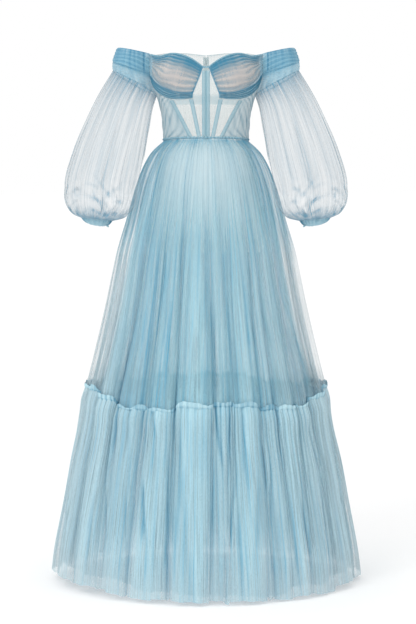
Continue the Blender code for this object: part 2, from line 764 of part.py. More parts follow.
def build_tier(turns, skirt_rows, skirt_ways, paint):
    """Gathered tier made from the skirt's edge, with a standing heading above its seam."""
    rng = random.Random(23)
    columns = []
    count = len(turns)
    low, high = skirt_rows[0], skirt_rows[1]
    for c in range(count):
        n = (c + 1) % count
        next_turn = turns[n] if n else turns[0] + 360.0
        columns.append((turns[c], low[c], high[c], skirt_ways[0][c]))
        columns.append(((turns[c] + next_turn) / 2.0, (low[c] + low[n]) / 2.0,
                        (high[c] + high[n]) / 2.0,
                        (skirt_ways[0][c] + skirt_ways[0][n]).normalized()))
    rises = []
    for fold in range(len(columns) // 4):
        strength = rng.uniform(0.55, 1.25)
        rises += [0.0, strength, rng.uniform(-0.3, 0.3), -strength * rng.uniform(0.8, 1.0)]
    hem_steps = uneven(len(columns), 0.0, 1.0, rng)
    rows = []
    for share in (0.0, 0.45, 0.87):
        line = []
        for (turn, seam, _, _), rise, step in zip(columns, rises, hem_steps):
            z = mix(HEM_Z + HEM_STEP * step, seam.z, share)
            line.append(gored(TIER, z, turn, rise))
        rows.append(line)
    seam_row = []
    heading = []
    for (_, seam, above, way), rise in zip(columns, rises):
        seam_row.append(seam + way * (LAY + CLOTH))
        up = seam + (above - seam) * (HEADING_HIGH / (above.z - seam.z))
        stand = HEADING_OUT * (0.30 + 0.35 * (rise + 1.2))
        heading.append(up + way * (LAY + CLOTH + stand))
    rows += [seam_row, heading]
    ways = normals(rows, True)
    inner = moved(rows, ways, -CLOTH)
    quarter = len(columns) // 4
    for name, first, last in (("tier_front", quarter, 3 * quarter),
                              ("tier_back_right", 0, quarter),
                              ("tier_back_left", 3 * quarter, 4 * quarter)):
        near, far = arc(rows, inner, first, last)
        solid(name, near, far, False, paint)


def build_underlayers(underskirt_paint, slip_paint):
    """Denser inner tulle skirt and the short lining slip, both sewn in at the waist."""
    rng = random.Random(8)
    turns, rises = fold_columns(UNDERSKIRT_FOLDS, rng)
    rows = [[gored(UNDERSKIRT, z, turn, rise) for turn, rise in zip(turns, rises)]
            for z in (-0.612, -0.300, -0.100, UNDERLAYER_TOP)]
    wall("underskirt", rows, underskirt_paint, wraps=True)
    rows = [[gored(SLIP, z, turn, 0.0) for turn in spaced(-180.0, 168.0, 30)]
            for z in (-0.282, -0.120, -0.030, UNDERLAYER_TOP)]
    wall("slip", rows, slip_paint, wraps=True)


def back_profile():
    """(y, z) down the middle of the back, on the outside of bodice and skirt."""
    points = []
    top = read(BACK_TOP, "turn", 179.8, "z")
    for z in (SEAM, mix(SEAM, top * 0.5, 0.5), top * 0.5, top * 0.75):
        points.append((torso(179.8, z).y, z))
    points.append((torso(179.8, TAPE_TOP).y, TAPE_TOP))
    lower = [(gored(SKIRT, z, 180.0, 0.0).y, z) for z in (TAPE_LOW, -0.035, -0.012)]
    return lower + points


def build_zip(tape_paint, metal_paint):
    """Back zip: its tape down over the waist, the slider at the top and its pull tab."""
    profile = back_profile()
    out = LAY + TAPE_THICK
    rows = []
    for i, (y, z) in enumerate(profile):
        before = profile[max(i - 1, 0)]
        after = profile[min(i + 1, len(profile) - 1)]
        along = Vector((0.0, after[0] - before[0], after[1] - before[1])).normalized()
        way = Vector((0.0, along.z, -along.y))
        point = Vector((0.0, y, z)) + way * out
        rows.append([point + Vector((x, 0.0, 0.0)) for x in (TAPE_HALF, 0.0, -TAPE_HALF)])
    wall("zip_tape", rows, tape_paint, thick=TAPE_THICK)

    face_y = torso(179.8, SLIDER_Z).y + out + SEAM
    middle_y = face_y + SLIDER_SIZE[1] / 2.0
    body = block("zip_slider", SLIDER_SIZE, (0.0, middle_y, SLIDER_Z), metal_paint)
    top_y = face_y + SLIDER_SIZE[1]
    axis_y = top_y + PIN_OUT
    axis_z = SLIDER_Z + PIN_RISE
    for side in (-1.0, 1.0):
        place = (side * CHEEK_X, top_y + CHEEK_OUT, axis_z)
        join(body, block("cheek", CHEEK_SIZE, place, metal_paint))
    pin = rod("pin", PIN_RADIUS, PIN_LONG, 12, (0.0, axis_y, axis_z), metal_paint)
    join(body, pin)

    tab = strip_tab(metal_paint)
    tab.location = (0.0, axis_y, axis_z)
    hole = rod("eye_hole", EYE_HOLE, 3.0 * TAB_HALF, 14, (0.0, axis_y, axis_z), metal_paint)
    join(tab, hole, "DIFFERENCE")


def block(name, size, place, paint):
    """A small bevelled block with its size in its mesh."""
    mesh = bpy.data.meshes.new(name)
    shape = bmesh.new()
    bmesh.ops.create_cube(shape, size=1.0)
    bmesh.ops.scale(shape, vec=size, verts=shape.verts)
    bmesh.ops.bevel(shape, geom=shape.edges[:], offset=min(size) * 0.2, segments=1, affect="EDGES")
    shape.to_mesh(mesh)
    shape.free()
    mesh.materials.append(paint)
    item = bpy.data.objects.new(name, mesh)
    item.location = place
    bpy.context.scene.collection.objects.link(item)
    return item


def rod(name, radius, length, sides, place, paint):
    """A round bar along X."""
    mesh = bpy.data.meshes.new(name)
    shape = bmesh.new()
    bmesh.ops.create_cone(shape, cap_ends=True, segments=sides, radius1=radius, radius2=radius,
                          depth=length, matrix=Matrix.Rotation(math.pi / 2.0, 4, "Y"))
    shape.to_mesh(mesh)
    shape.free()
    mesh.materials.append(paint)
    item = bpy.data.objects.new(name, mesh)
    item.location = place
    bpy.context.scene.collection.objects.link(item)
    return item


def strip_tab(paint):
    """Pull tab: a flat strip with a round eye at the hinge and a round end."""
    outline = []
    half = TAB_THICK / 2.0
    for angle in range(-60, 241, 30):
        outline.append((EYE_RADIUS * math.cos(math.radians(angle)),
                        EYE_RADIUS * math.sin(math.radians(angle))))
    neck = EYE_RADIUS + TAB_THICK
    outline += [(-half, -neck), (-half, -TAB_LONG + half), (0.0, -TAB_LONG),
                (half, -TAB_LONG + half), (half, -neck)]
    mesh = bpy.data.meshes.new("zip_tab")
    shape = bmesh.new()
    sides = []
    for x in (-TAB_HALF, TAB_HALF):
        sides.append([shape.verts.new((x, y, z)) for y, z in outline])
    count = len(outline)
    for c in range(count):
        n = (c + 1) % count
        shape.faces.new((sides[0][c], sides[0][n], sides[1][n], sides[1][c]))
    shape.faces.new(sides[0])
    shape.faces.new(sides[1])
    bmesh.ops.recalc_face_normals(shape, faces=shape.faces)
    shape.to_mesh(mesh)
    shape.free()
    mesh.materials.append(paint)
    item = bpy.data.objects.new("zip_tab", mesh)
    bpy.context.scene.collection.objects.link(item)
    return item


def join(body, tool, operation="UNION"):
    """Joins or cuts with a guide object, which is hidden."""
    change = body.modifiers.new(operation.lower(), "BOOLEAN")
    change.operation = operation
    change.solver = "EXACT"
    change.object = tool
    tool.hide_render = True
    tool.display_type = "WIRE"


def main():
    clear_scene()
    mesh_tulle = cloth("corset mesh tulle", 0.62, 0.73, 0.76)
    blue_tulle = cloth("dusty blue tulle", 0.30, 0.52, 0.62)
    deep_tulle = cloth("dense blue tulle", 0.20, 0.40, 0.50)
    pale_tulle = cloth("sheer sleeve tulle", 0.66, 0.74, 0.78)
    channel = cloth("boning tape", 0.36, 0.53, 0.58)
    lining = cloth("nude lining", 0.72, 0.62, 0.56)
    slip_cloth = cloth("slip lining", 0.60, 0.72, 0.76)
    metal = cloth("painted zip metal", 0.45, 0.55, 0.60, roughness=0.4, metallic=0.6)

    build_front_panels(mesh_tulle)
    build_side_panels(blue_tulle)
    build_back_panels(mesh_tulle)
    build_channels(channel)
    build_cups(pale_tulle, lining, deep_tulle)
    build_drapes(blue_tulle)
    build_waist(deep_tulle)
    build_bands(deep_tulle)
    build_sleeves(pale_tulle, deep_tulle)
    turns, rows, ways = build_skirt(blue_tulle)
    build_tier(turns, rows, ways, blue_tulle)
    build_underlayers(blue_tulle, slip_cloth)
    build_zip(blue_tulle, metal)


main()
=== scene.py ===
import math

import bpy
import numpy as np
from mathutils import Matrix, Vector


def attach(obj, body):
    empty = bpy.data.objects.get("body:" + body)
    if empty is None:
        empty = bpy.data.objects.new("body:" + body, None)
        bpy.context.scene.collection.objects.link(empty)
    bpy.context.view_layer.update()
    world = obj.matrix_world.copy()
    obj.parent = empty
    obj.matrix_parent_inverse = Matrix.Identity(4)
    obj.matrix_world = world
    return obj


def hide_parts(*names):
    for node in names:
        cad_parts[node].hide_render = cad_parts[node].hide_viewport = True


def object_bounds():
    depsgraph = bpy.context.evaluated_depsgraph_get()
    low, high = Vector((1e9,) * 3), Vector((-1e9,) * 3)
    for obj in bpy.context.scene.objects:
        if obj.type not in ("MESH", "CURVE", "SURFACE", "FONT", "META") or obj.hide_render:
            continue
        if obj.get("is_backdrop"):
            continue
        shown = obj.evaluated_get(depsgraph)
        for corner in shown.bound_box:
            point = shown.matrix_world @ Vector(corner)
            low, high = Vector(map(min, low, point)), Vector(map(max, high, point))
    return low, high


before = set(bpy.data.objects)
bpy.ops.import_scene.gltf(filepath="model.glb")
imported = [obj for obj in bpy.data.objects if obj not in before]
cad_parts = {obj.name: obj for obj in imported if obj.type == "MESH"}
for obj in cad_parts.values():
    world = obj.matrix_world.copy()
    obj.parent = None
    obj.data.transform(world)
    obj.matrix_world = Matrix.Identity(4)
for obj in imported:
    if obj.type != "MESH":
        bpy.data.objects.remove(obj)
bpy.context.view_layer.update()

# SLIP
# The short lining slip that shows pale through the skirt: plain woven polyester lining,
# cut as a narrow tube, hung from the waist seam under the tulle.

SLIP_FORM = {
    "z": (-0.29, -0.282, -0.12, -0.03, -0.002),
    "half_width": (0.134, 0.14, 0.133, 0.115, 0.1041),
    "front": (0.11, 0.112, 0.106, 0.092, 0.082),
    "back": (0.115, 0.116, 0.106, 0.087, 0.077)}
SLIP_HEM = -0.284
SLIP_CREASES = 14


def linear(code):
    """An sRGB hex colour as linear values."""
    values = [int(code[i:i + 2], 16) / 255.0 for i in (0, 2, 4)]
    return [v / 12.92 if v <= 0.04045 else ((v + 0.055) / 1.055) ** 2.4 for v in values] + [1.0]


def curve(form, key, at, column):
    """A column's value on the smooth curve through a form's rows, keys rising."""
    keys = np.array(form[key], float)
    values = np.array(form[column], float)
    slopes = np.gradient(values, keys)
    at = np.clip(at, keys[0], keys[-1])
    low = np.clip(np.searchsorted(keys, at, side="right") - 1, 0, len(keys) - 2)
    span = keys[low + 1] - keys[low]
    s = (at - keys[low]) / span
    start = (2 * s**3 - 3 * s**2 + 1) * values[low] + (s**3 - 2 * s**2 + s) * span * slopes[low]
    end = (3 * s**2 - 2 * s**3) * values[low + 1] + (s**3 - s**2) * span * slopes[low + 1]
    return start + end


def ease(share):
    share = np.clip(share, 0.0, 1.0)
    return share * share * (3.0 - 2.0 * share)


def section(form, turn, z, power=2.0):
    """Points and outward plan directions of a round form; turn 0 is the front, 90 is +X."""
    half_width = curve(form, "z", z, "half_width")
    angle = np.radians(turn)
    s, c = np.sin(angle), np.cos(angle)
    depth = np.where(c > 0.0, curve(form, "z", z, "front"), curve(form, "z", z, "back"))
    x = np.sign(s) * np.abs(s) ** (2.0 / power) * half_width
    y = -np.sign(c) * np.abs(c) ** (2.0 / power) * depth
    out = np.stack([np.sign(x) * np.abs(x / half_width) ** (power - 1.0) / half_width,
                    np.sign(y) * np.abs(y / depth) ** (power - 1.0) / depth, 0.0 * x], axis=-1)
    out /= np.maximum(np.linalg.norm(out, axis=-1, keepdims=True), 1e-9)
    return np.stack([x, y, z + 0.0 * x], axis=-1), out


def wander(seed, turn, waves, period=360.0):
    """A slow, smooth, irregular value of about -1 to 1 that closes on itself."""
    rng = np.random.default_rng(seed)
    total = 0.0 * turn
    for wave in waves:
        total = total + rng.uniform(0.4, 1.0) * np.sin(
            math.tau * wave * turn / period + rng.uniform(0.0, math.tau))
    return total / math.sqrt(len(waves))


def add_object(name, data):
    item = bpy.data.objects.new(name, data)
    bpy.context.scene.collection.objects.link(item)
    return item


def shell(name, points, around=False, cover=None, fold=None, pale=None):
    """An open sheet of cloth from rows of points, with how much of the view its threads
    cover, how deep its colour is at each point (from gathers, seams and stitches, and painted
    shade in the valleys of folds and creases), how far it is greyed (a painted shade at the
    sides of the skirts, greyer toward the hem too), and its place on the cloth in metres."""
    rows, columns = points.shape[:2]
    index = np.arange(rows * columns).reshape(rows, columns)
    left = index if around else index[:, :-1]
    right = np.roll(index, -1, axis=1) if around else index[:, 1:]
    quads = np.stack([left[:-1], right[:-1], right[1:], left[1:]], axis=-1).reshape(-1, 4)
    mesh = bpy.data.meshes.new(name)
    mesh.from_pydata(points.reshape(-1, 3).tolist(), [], quads.tolist())
    across = np.zeros((rows, columns))
    across[:, 1:] = np.cumsum(np.linalg.norm(np.diff(points.mean(axis=0), axis=0), axis=1))
    up = np.zeros((rows, columns))
    up[1:] = np.cumsum(np.linalg.norm(np.diff(points, axis=0), axis=2).mean(axis=1))[:, None]
    weave = np.stack([across, up, 0.0 * up], axis=-1)
    for title, kind, field, values in (
            ("cover", "FLOAT", "value", cover), ("fold", "FLOAT", "value", fold),
            ("pale", "FLOAT", "value", pale), ("weave", "FLOAT_VECTOR", "vector", weave)):
        if values is not None:
            data = np.broadcast_to(values, weave.shape if field == "vector" else weave.shape[:2])
            mesh.attributes.new(title, kind, "POINT").data.foreach_set(
                field, np.ascontiguousarray(data, dtype=np.float32).ravel())
    mesh.shade_smooth()
    return add_object(name, mesh)


def dress_piece(item, material, nodes=()):
    """The calls that every cloth piece of the dress shares."""
    item.data.materials.append(material)
    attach(item, "dress")
    if nodes:
        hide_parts(*nodes)


def surface(name, settings):
    """A new material and its shader, with the shader's fixed inputs."""
    material = bpy.data.materials.new(name)
    material.use_nodes = True
    shader = material.node_tree.nodes["Principled BSDF"]
    for key, value in settings.items():
        shader.inputs[key].default_value = value
    return material, shader


def add(material, kind, settings=None, **links):
    """One more shader node: its properties or fixed inputs, then what feeds its inputs."""
    node = material.node_tree.nodes.new("ShaderNode" + kind)
    for key, value in (settings or {}).items():
        if hasattr(node, key):
            setattr(node, key, value)
        else:
            node.inputs[int(key) if key.isdigit() else key].default_value = value
    for key, source in links.items():
        socket = node.inputs[int(key[1:])] if key[1:].isdigit() else node.inputs[key]
        material.node_tree.links.new(source, socket)
    return node


def two_tone(material, first, second, share):
    """A mix of two colours by what share gives."""
    return add(material, "Mix", {"data_type": "RGBA", "6": linear(first), "7": linear(second)},
               i0=share)


def coloured(material, shader, tone):
    """The material with a colour node put to its shader."""
    material.node_tree.links.new(tone.outputs[2], shader.inputs["Base Color"])
    return material


# Woven polyester lining is matt, pale and nearly opaque; the weave is far too fine to
# show, so it is drawn as 1.5 mm threads that just break up the tone.
def woven_lining(name, thread, gap, alpha):
    material, shader = surface(name, {"Roughness": 0.75, "Sheen Weight": 0.15, "Alpha": alpha})
    place = add(material, "Attribute", {"attribute_name": "weave"})
    warp = add(material, "TexNoise", {"Scale": 650.0, "Detail": 2.0},
               Vector=place.outputs["Vector"])
    return coloured(material, shader, two_tone(material, thread, gap, warp.outputs["Fac"]))


def ring_grid(columns, rows):
    """The turns all round a form, beside each value of rows."""
    return np.meshgrid(np.linspace(-180, 180, columns + 1)[:-1], rows)


turn, z = ring_grid(240, np.linspace(SLIP_HEM, -0.0025, 24))
points, out = section(SLIP_FORM, turn, z)
fall = ease((-0.01 - z) / 0.2)
crease = np.sin(np.radians(turn * SLIP_CREASES) + 2.0 * wander(3, turn, (1, 2, 3)))
points += out * (0.0022 * fall * crease * (0.7 + 0.3 * wander(4, turn, (2, 5))))[..., None]
slip = shell("slip_lining", points, around=True)
dress_piece(slip, woven_lining("woven polyester lining", "f0f4f3", "e3ebec", 0.92),
            ["slip"])

# UNDERSKIRT
# The inner skirt: a denser layer of the same tulle, gathered to the waist seam, which
# makes the darker core seen inside the sheer outer skirt.

UNDERSKIRT_FORM = {
    "z": (-0.7, -0.62, -0.45, -0.25, -0.1, -0.03, -0.002),
    "half_width": (0.268, 0.256, 0.214, 0.179, 0.15, 0.121, 0.1062),
    "front": (0.234, 0.22, 0.182, 0.15, 0.124, 0.098, 0.084),
    "back": (0.236, 0.222, 0.182, 0.148, 0.118, 0.093, 0.079)}
UNDERSKIRT_HEM = -0.69


def gathers(turn, count, seed, uneven=1.0):
    """Soft upright folds of about +-1, uneven in spacing and strength, narrow in the valleys."""
    phase = np.radians(turn * count) + uneven * (2.6 * wander(seed, turn, (1, 2, 3, 5))
                                                 + 1.3 * wander(seed + 1, turn, (9, 14, 23)))
    strength = np.clip(0.7 + 0.45 * wander(seed + 2, turn, (3, 7, 12, 19)), 0.1, 1.4)
    return strength * (1.0 - 1.6 * (0.5 + 0.5 * np.cos(phase)) ** 2.2)


def woven(points, plain, thin, around=True):
    """The share of the view that a layer's threads cover: more where a fold turns it edge-on."""
    lengths = []
    for grid in (points, plain):
        step = (np.roll(grid, -1, axis=1) - np.roll(grid, 1, axis=1)) if around else np.gradient(
            grid, axis=1)
        lengths.append(np.maximum(np.linalg.norm(step, axis=-1), 1e-7))
    slope = np.clip(lengths[0] / lengths[1], 0.8, 4.5)
    return 1.0 - (1.0 - thin) ** slope, slope


# Polyester tulle is a matt hexagon net.  One layer only veils what is behind it.  Its colour
# deepens with the fold value: partly the denser net where it is gathered, partly painted
# shade in the valleys of folds and creases.  Where pale is set it is mixed toward a grey, a
# painted shade at the sides.  Long streaks stand for the threads, and as painted shade for
# creases too fine to model.  The real holes are about 1 mm; the net is drawn at 2.6 mm so
# that it just shows as grain.
NET_MM = 2.6
FINE_STREAK_MM = (3.6, 240.0)
WIDE_STREAK_MM = (10.5, 420.0)
# The grey that the pale value mixes in, a painted shade at the sides of the skirts.
SHADE_GREY = "b6c3c8"


def tulle(name, light, deep, grain=0.25, fine=0.5, wide=0.3):
    """grain is how strongly the net shows, fine and wide how strongly the streaks do."""
    material, shader = surface(name, {"Roughness": 0.9, "Specular IOR Level": 0.12,
                                      "Sheen Weight": 0.1})
    place = add(material, "Attribute", {"attribute_name": "weave"})
    cover = add(material, "Attribute", {"attribute_name": "cover"})
    fold = add(material, "Attribute", {"attribute_name": "fold"})
    total = None
    for (across, along), strength in ((FINE_STREAK_MM, fine), (WIDE_STREAK_MM, wide)):
        stretch = add(material, "Mapping", {"Scale": (1000.0 / across, 1000.0 / along, 1.0)},
                      Vector=place.outputs["Vector"])
        noise = add(material, "TexNoise", {"Scale": 1.0, "Detail": 3.0, "Roughness": 0.65},
                    Vector=stretch.outputs["Vector"])
        line = add(material, "MapRange", {"1": 0.36, "2": 0.64, "3": -strength, "4": strength},
                   i0=noise.outputs["Fac"])
        if total:
            line = add(material, "Math", {"operation": "ADD"}, i0=total.outputs[0],
                       i1=line.outputs[0])
        total = line
    net = add(material, "TexVoronoi", {"Scale": 1000.0 / NET_MM, "feature": "DISTANCE_TO_EDGE"},
              Vector=place.outputs["Vector"])
    mesh_line = add(material, "MapRange", {"1": 0.0, "2": 0.5, "3": 1.0 + grain, "4": 1.0 - grain},
                    i0=net.outputs["Distance"])
    # The colour deepens with the streaks and the fold value: partly denser net, partly painted
    # shade in valleys and creases.
    depth = add(material, "Math", {"operation": "MULTIPLY_ADD", "use_clamp": True, "1": 0.6},
                i0=total.outputs[0], i2=fold.outputs["Fac"])
    tone = two_tone(material, light, deep, depth.outputs[0])
    # Where pale is set the colour is mixed toward the grey, a painted shade.
    pale = add(material, "Attribute", {"attribute_name": "pale"})
    tone = add(material, "Mix", {"data_type": "RGBA", "7": linear(SHADE_GREY)},
               i0=pale.outputs["Fac"], i6=tone.outputs[2])
    more = add(material, "Math", {"operation": "MULTIPLY_ADD", "1": 0.6, "2": 1.0},
               i0=total.outputs[0])
    threads = add(material, "Math", {"operation": "MULTIPLY"}, i0=cover.outputs["Fac"],
                  i1=mesh_line.outputs[0])
    alpha = add(material, "Math", {"operation": "MULTIPLY", "use_clamp": True},
                i0=threads.outputs[0], i1=more.outputs[0])
    material.node_tree.links.new(alpha.outputs[0], shader.inputs["Alpha"])
    return coloured(material, shader, tone)


def bump(value, middle, wide):
    """1 at the middle, dying away on both sides of it."""
    return np.exp(-((value - middle) / wide) ** 2)


def over_slip(turn, z):
    """1 where the pale slip shows through the skirts, at the front and above its edge."""
    return ease((z + 0.31) / 0.27) * ease((np.cos(np.radians(turn)) - 0.35) / 0.4)


turn, z = ring_grid(1080, np.linspace(UNDERSKIRT_HEM, -0.0022, 42))
points, out = section(UNDERSKIRT_FORM, turn, z)
fall = ease(-z / 0.5)
rise = (gathers(turn + 3.0 * wander(39, z * 500.0, (1, 2)), 21, 40) * (0.0012 + 0.009 * fall)
        + gathers(turn, 78, 50) * (0.0006 + 0.002 * fall)) * ease(-z / 0.03)
# It thins out toward the photo's right.
thin_side = 0.7 * bump(turn, 76.0, 30.0) * ease((-z - 0.2) / 0.15)
thin = (0.25 + 0.15 * ease((-z - 0.05) / 0.25) - 0.11 * over_slip(turn, z)) * (1.0 - thin_side)
folded = points + out * rise[..., None]
cover, slope = woven(folded, points, thin)
# Its colour deepens in the valleys between the gathers, a painted shade.
underskirt = shell("underskirt_tulle", folded, True, np.clip(cover, 0, 0.92),
                   np.clip(0.34 - rise * 50.0 + 0.08 * (slope - 1.0), 0, 1))
dress_piece(underskirt, tulle("dense inner tulle", "9dcfdc", "3082a3", fine=0.4, wide=0.5),
            ["underskirt"])

# OUTER SKIRT
# The sheer outer skirt: one layer of tulle in a front and two backs, gathered hard into
# the waist seam and let fall into the seam of the tier.  Its main folds are placed one by
# one, at the front as in the photo and at the back as such a skirt hangs.

SKIRT_FORM = {
    "z": (-0.66, -0.622, -0.58, -0.518, -0.456, -0.395, -0.334, -0.273, -0.212, -0.166,
          -0.1, -0.061, -0.028, -0.01, 0.0),
    "half_width": (0.2965, 0.2895, 0.279, 0.264, 0.2495, 0.2365, 0.226, 0.215, 0.1995,
                   0.1885, 0.171, 0.156, 0.136, 0.118, 0.1071),
    "front": (0.26, 0.252, 0.242, 0.229, 0.216, 0.204, 0.194, 0.184, 0.171,
              0.161, 0.146, 0.131, 0.112, 0.096, 0.085),
    "back": (0.262, 0.254, 0.244, 0.231, 0.217, 0.205, 0.194, 0.183, 0.168,
             0.158, 0.14, 0.125, 0.106, 0.0905, 0.08)}
TIER_SEAM_Z = -0.622
FRONT_DIP = 0.018
SKIRT_TOP = 0.0014

# Where the skirt's folds crowd together, denser and painted darker, a painted shade: the
# turn, how far it reaches, how much deeper the colour is and the height where it starts.
CROWD_SHADE = (
    (-34, 15, 0.34, -0.19), (29, 8, 0.18, -0.19), (-47, 6, 0.26, 0.0), (45, 7, 0.14, 0.0),
    (118, 16, 0.16, -0.1), (171, 11, 0.2, -0.05), (-140, 18, 0.14, -0.15), (-74, 9, 0.05, -0.19))

# Each main fold: the turn where it starts at the waist, the tier seam and the hem, how far
# it stands out, how deep the valley before it is at the top and at the foot, and how much
# its seam is lifted, in mm.
FOLDS = np.array([
    (-172, -171, -170, 14, 8, 5, -2), (-157, -158, -160, 5, 5, 9, 4),
    (-150, -149, -147, 15, 9, 3, -9), (-134, -133, -135, 8, 6, 7, -14),
    (-120, -121, -119, 13, 10, 9, -4), (-110, -108, -111, 6, 8, 3, 2),
    (-96, -95, -96, 12, 7, 8, 0), (-84, -80, -78, 8, 4, 6, 0), (-60, -61, -58, 14, 8, 3, -13),
    (-41, -47, -43, 6, 10, 2, -26), (-27, -28, -30, 9, 2, 9, -25), (-16, -14, -13, 17, 7, 2, -11),
    (1, 3.6, 1.5, 3, 3, 1, -9), (15, 12.2, 6, 13, 2, 1, -12), (30, 25, 24.5, 3, 6, 2, -25),
    (37, 34, 33, 12, 5, 9, -29), (51, 46, 42, 8, 7, 1, -30), (61, 56, 55, 11, 6, 8, -16),
    (83, 80, 76, 13, 5, 6, 0), (96, 97, 99, 5, 8, 4, 3), (107, 108, 105, 15, 7, 9, -3),
    (123, 122, 124, 5, 9, 5, -12), (130, 131, 129, 14, 5, 8, -15), (148, 147, 149, 7, 9, 3, -5),
    (157, 158, 157, 12, 6, 8, 2), (173, 172, 173, 9, 8, 7, 3)])
FOLD_TUCK = 0.11


def main_folds(turn, top, foot, share):
    """How far the main folds stand out in metres, how far round they slide in degrees so
    that they lap over their valleys, and how much the seam lifts.  share goes by rows."""
    rise, slide, lift = np.zeros(turn.shape), np.zeros(turn.shape), np.zeros(turn.shape)
    high, lifts = FOLDS[:, 3] * 0.001, FOLDS[:, 6] * 0.001
    for row in range(turn.shape[0]):
        starts = FOLDS[:, top] + (FOLDS[:, foot] - FOLDS[:, top]) * share[row]
        ends = np.append(starts[1:], starts[0] + 360.0)
        valley = FOLDS[:, 4] * 0.001
        if foot == 2:
            valley = valley + (FOLDS[:, 5] - FOLDS[:, 4]) * 0.001 * share[row]
        at = np.where(turn[row] < starts[0], turn[row] + 360.0, turn[row])
        k = np.searchsorted(starts, at, side="right") - 1
        n = (k + 1) % len(starts)
        along = (at - starts[k]) / (ends[k] - starts[k])
        round_top = np.sin(math.pi * np.clip(along, 0.0, 1.0)) ** 0.7
        sunk = valley[k] + (valley[n] - valley[k]) * along
        rise[row] = high[k] * round_top - sunk * (1.0 - round_top)
        lap = (sunk + high[k]) / 0.02
        slide[row] = -FOLD_TUCK * lap * (ends[k] - starts[k]) * np.sin(math.tau * along)
        own = ease(np.minimum(along, 1.0 - along) / 0.16)
        beside = np.where(along < 0.5, lifts[k - 1], lifts[n])
        lift[row] = lifts[k] * (0.5 + 0.5 * own) + beside * (0.5 - 0.5 * own)
    return rise, slide, lift


def sideways(turn):
    """0 at the front and back, 1 at the sides, where the skirts are greyed by a painted shade."""
    return np.abs(np.sin(np.radians(turn))) ** 2.5


def seam_height(turn, lift):
    """The tier seam: lower at the front, with short steps up and down."""
    front = np.maximum(np.cos(np.radians(turn)), 0.0)
    return TIER_SEAM_Z - FRONT_DIP * front ** 2 + lift + 0.0014 * wander(70, turn, (17, 31, 53))


turn, down = ring_grid(1440, np.linspace(1.0, 0.0, 54) ** 1.25)
main, slide, lift = main_folds(turn, 0, 1, down[:, 0])
z = (seam_height(turn, lift) - SKIRT_TOP) * down + SKIRT_TOP
grow = ease((-0.015 - z) / 0.42)
plain = section(SKIRT_FORM, turn, z)[0]
points, out = section(SKIRT_FORM, turn + slide * grow, z)
# The folds die away beside the zip, so that its tape lies flat.
beside_zip = np.where((plain[..., 1] > 0) & (z > -0.15),
                      ease((np.abs(plain[..., 0]) - 0.013) / 0.03), 1.0)
medium = gathers(turn, 56, 10) * (0.0008 + 0.0026 * grow)
small = gathers(turn, 131, 20) * (0.0011 + 0.0004 * grow)
rise = (main * grow + medium + small) * beside_zip * ease(-z / 0.02)
points += out * rise[..., None]
at_side = sideways(turn)
at_hip = at_side * ease((z + 0.27) / 0.16)
below_hips = ease((-z - 0.18) / 0.15)
crowd = sum(deep * np.exp(-((turn - at) / wide) ** 2) * ease((start - z) / 0.14)
            for at, wide, deep, start in CROWD_SHADE)
thin_side = 0.1 * at_side + 0.14 * bump(turn, 72.0, 24.0)
thin = (0.24 + 0.05 * ease((-z - 0.05) / 0.25) - 0.05 * over_slip(turn, z) + 0.14 * at_hip
        + 0.4 * crowd - thin_side * below_hips)
cover = woven(points, plain, thin)[0]
gather_top = 0.34 * np.exp(np.minimum(z, 0) / 0.011) + 0.08 * np.exp(np.minimum(z, 0) / 0.05)
near_tier = (0.16 * ease((down - 0.9) / 0.1)
             + 0.3 * ease((down - 0.6) / 0.4) * np.clip(-main * 140.0, 0, 1))
# The colour deepens in the valleys of the folds and gathers, near the tier seam and where the
# folds crowd, a painted shade, and at the waist gathers; below the hips it is greyed at the sides,
# a painted shade too.
skirt = shell("outer_skirt_tulle", points, True, np.clip(cover + gather_top + near_tier, 0, 0.92),
              np.clip(0.3 - main * grow * 9.0 - medium * 70.0 - small * 150.0
                      + gather_top * 0.9 + near_tier + 0.26 * at_hip + crowd, 0, 1),
              0.85 * at_side * below_hips)
dress_piece(skirt, tulle("sheer skirt tulle", "b2d8e2", "3b90b0", fine=0.62, wide=0.52),
            ["skirt_front", "skirt_back_left", "skirt_back_right"])

# TIER
# The bottom ruffle: long strips of tulle two layers deep, gathered hard onto the skirt's
# edge and falling from its folds in broad uneven lobes to a raw hem.

TIER_FORM = {
    "z": (-1.105, -1.038, -0.915, -0.793, -0.732, -0.671, -0.644, -0.6),
    "half_width": (0.3795, 0.3735, 0.354, 0.3315, 0.317, 0.303, 0.296, 0.286),
    "front": (0.3285, 0.323, 0.305, 0.285, 0.274, 0.264, 0.259, 0.249),
    "back": (0.3305, 0.325, 0.307, 0.287, 0.276, 0.266, 0.261, 0.251)}
HEM_Z = -1.0955
INNER_TIER_INSET = 0.019

# The raw hem as it was cut: turn and height in mm, with points and nicks, at the front as
# in the photo.
HEM_CUTS = np.array([
    (-172, -13), (-171.4, -7), (-160, -9), (-150, -13), (-149.4, -8), (-137, -6),
    (-128, -12), (-127.3, -7), (-113, -8), (-104, 1), (-103.4, -3), (-86, 9), (-60, 10),
    (-59.4, 6), (-50, 8), (-45, 9), (-44.5, 4), (-38.6, 8), (-38, 2), (-35, 0), (-31, -5),
    (-30.6, -1), (-27, -3), (-20.4, -6), (-20, -2), (-14.1, -4), (-11.5, 1.5), (-10.6, -2),
    (-7.7, -5), (-1.4, -6), (-0.7, -10), (0, -4), (5.6, -4), (8.2, -11), (9.4, -12), (9.9, -5),
    (14.1, -4), (20.6, -9), (20.9, 4), (22, -7), (24.6, -4), (28.6, -10), (32.3, -11), (35.4, -5),
    (41.6, -4), (48, -10), (56.3, -12), (57.1, 0), (67.6, 1), (86, -3), (95, -1), (104, -8),
    (104.6, -4), (118, -6), (119, -11), (131, -12), (140, -6), (140.7, -10), (152, -13), (160, -7),
    (160.6, -12), (171, -10), (180, -8)])

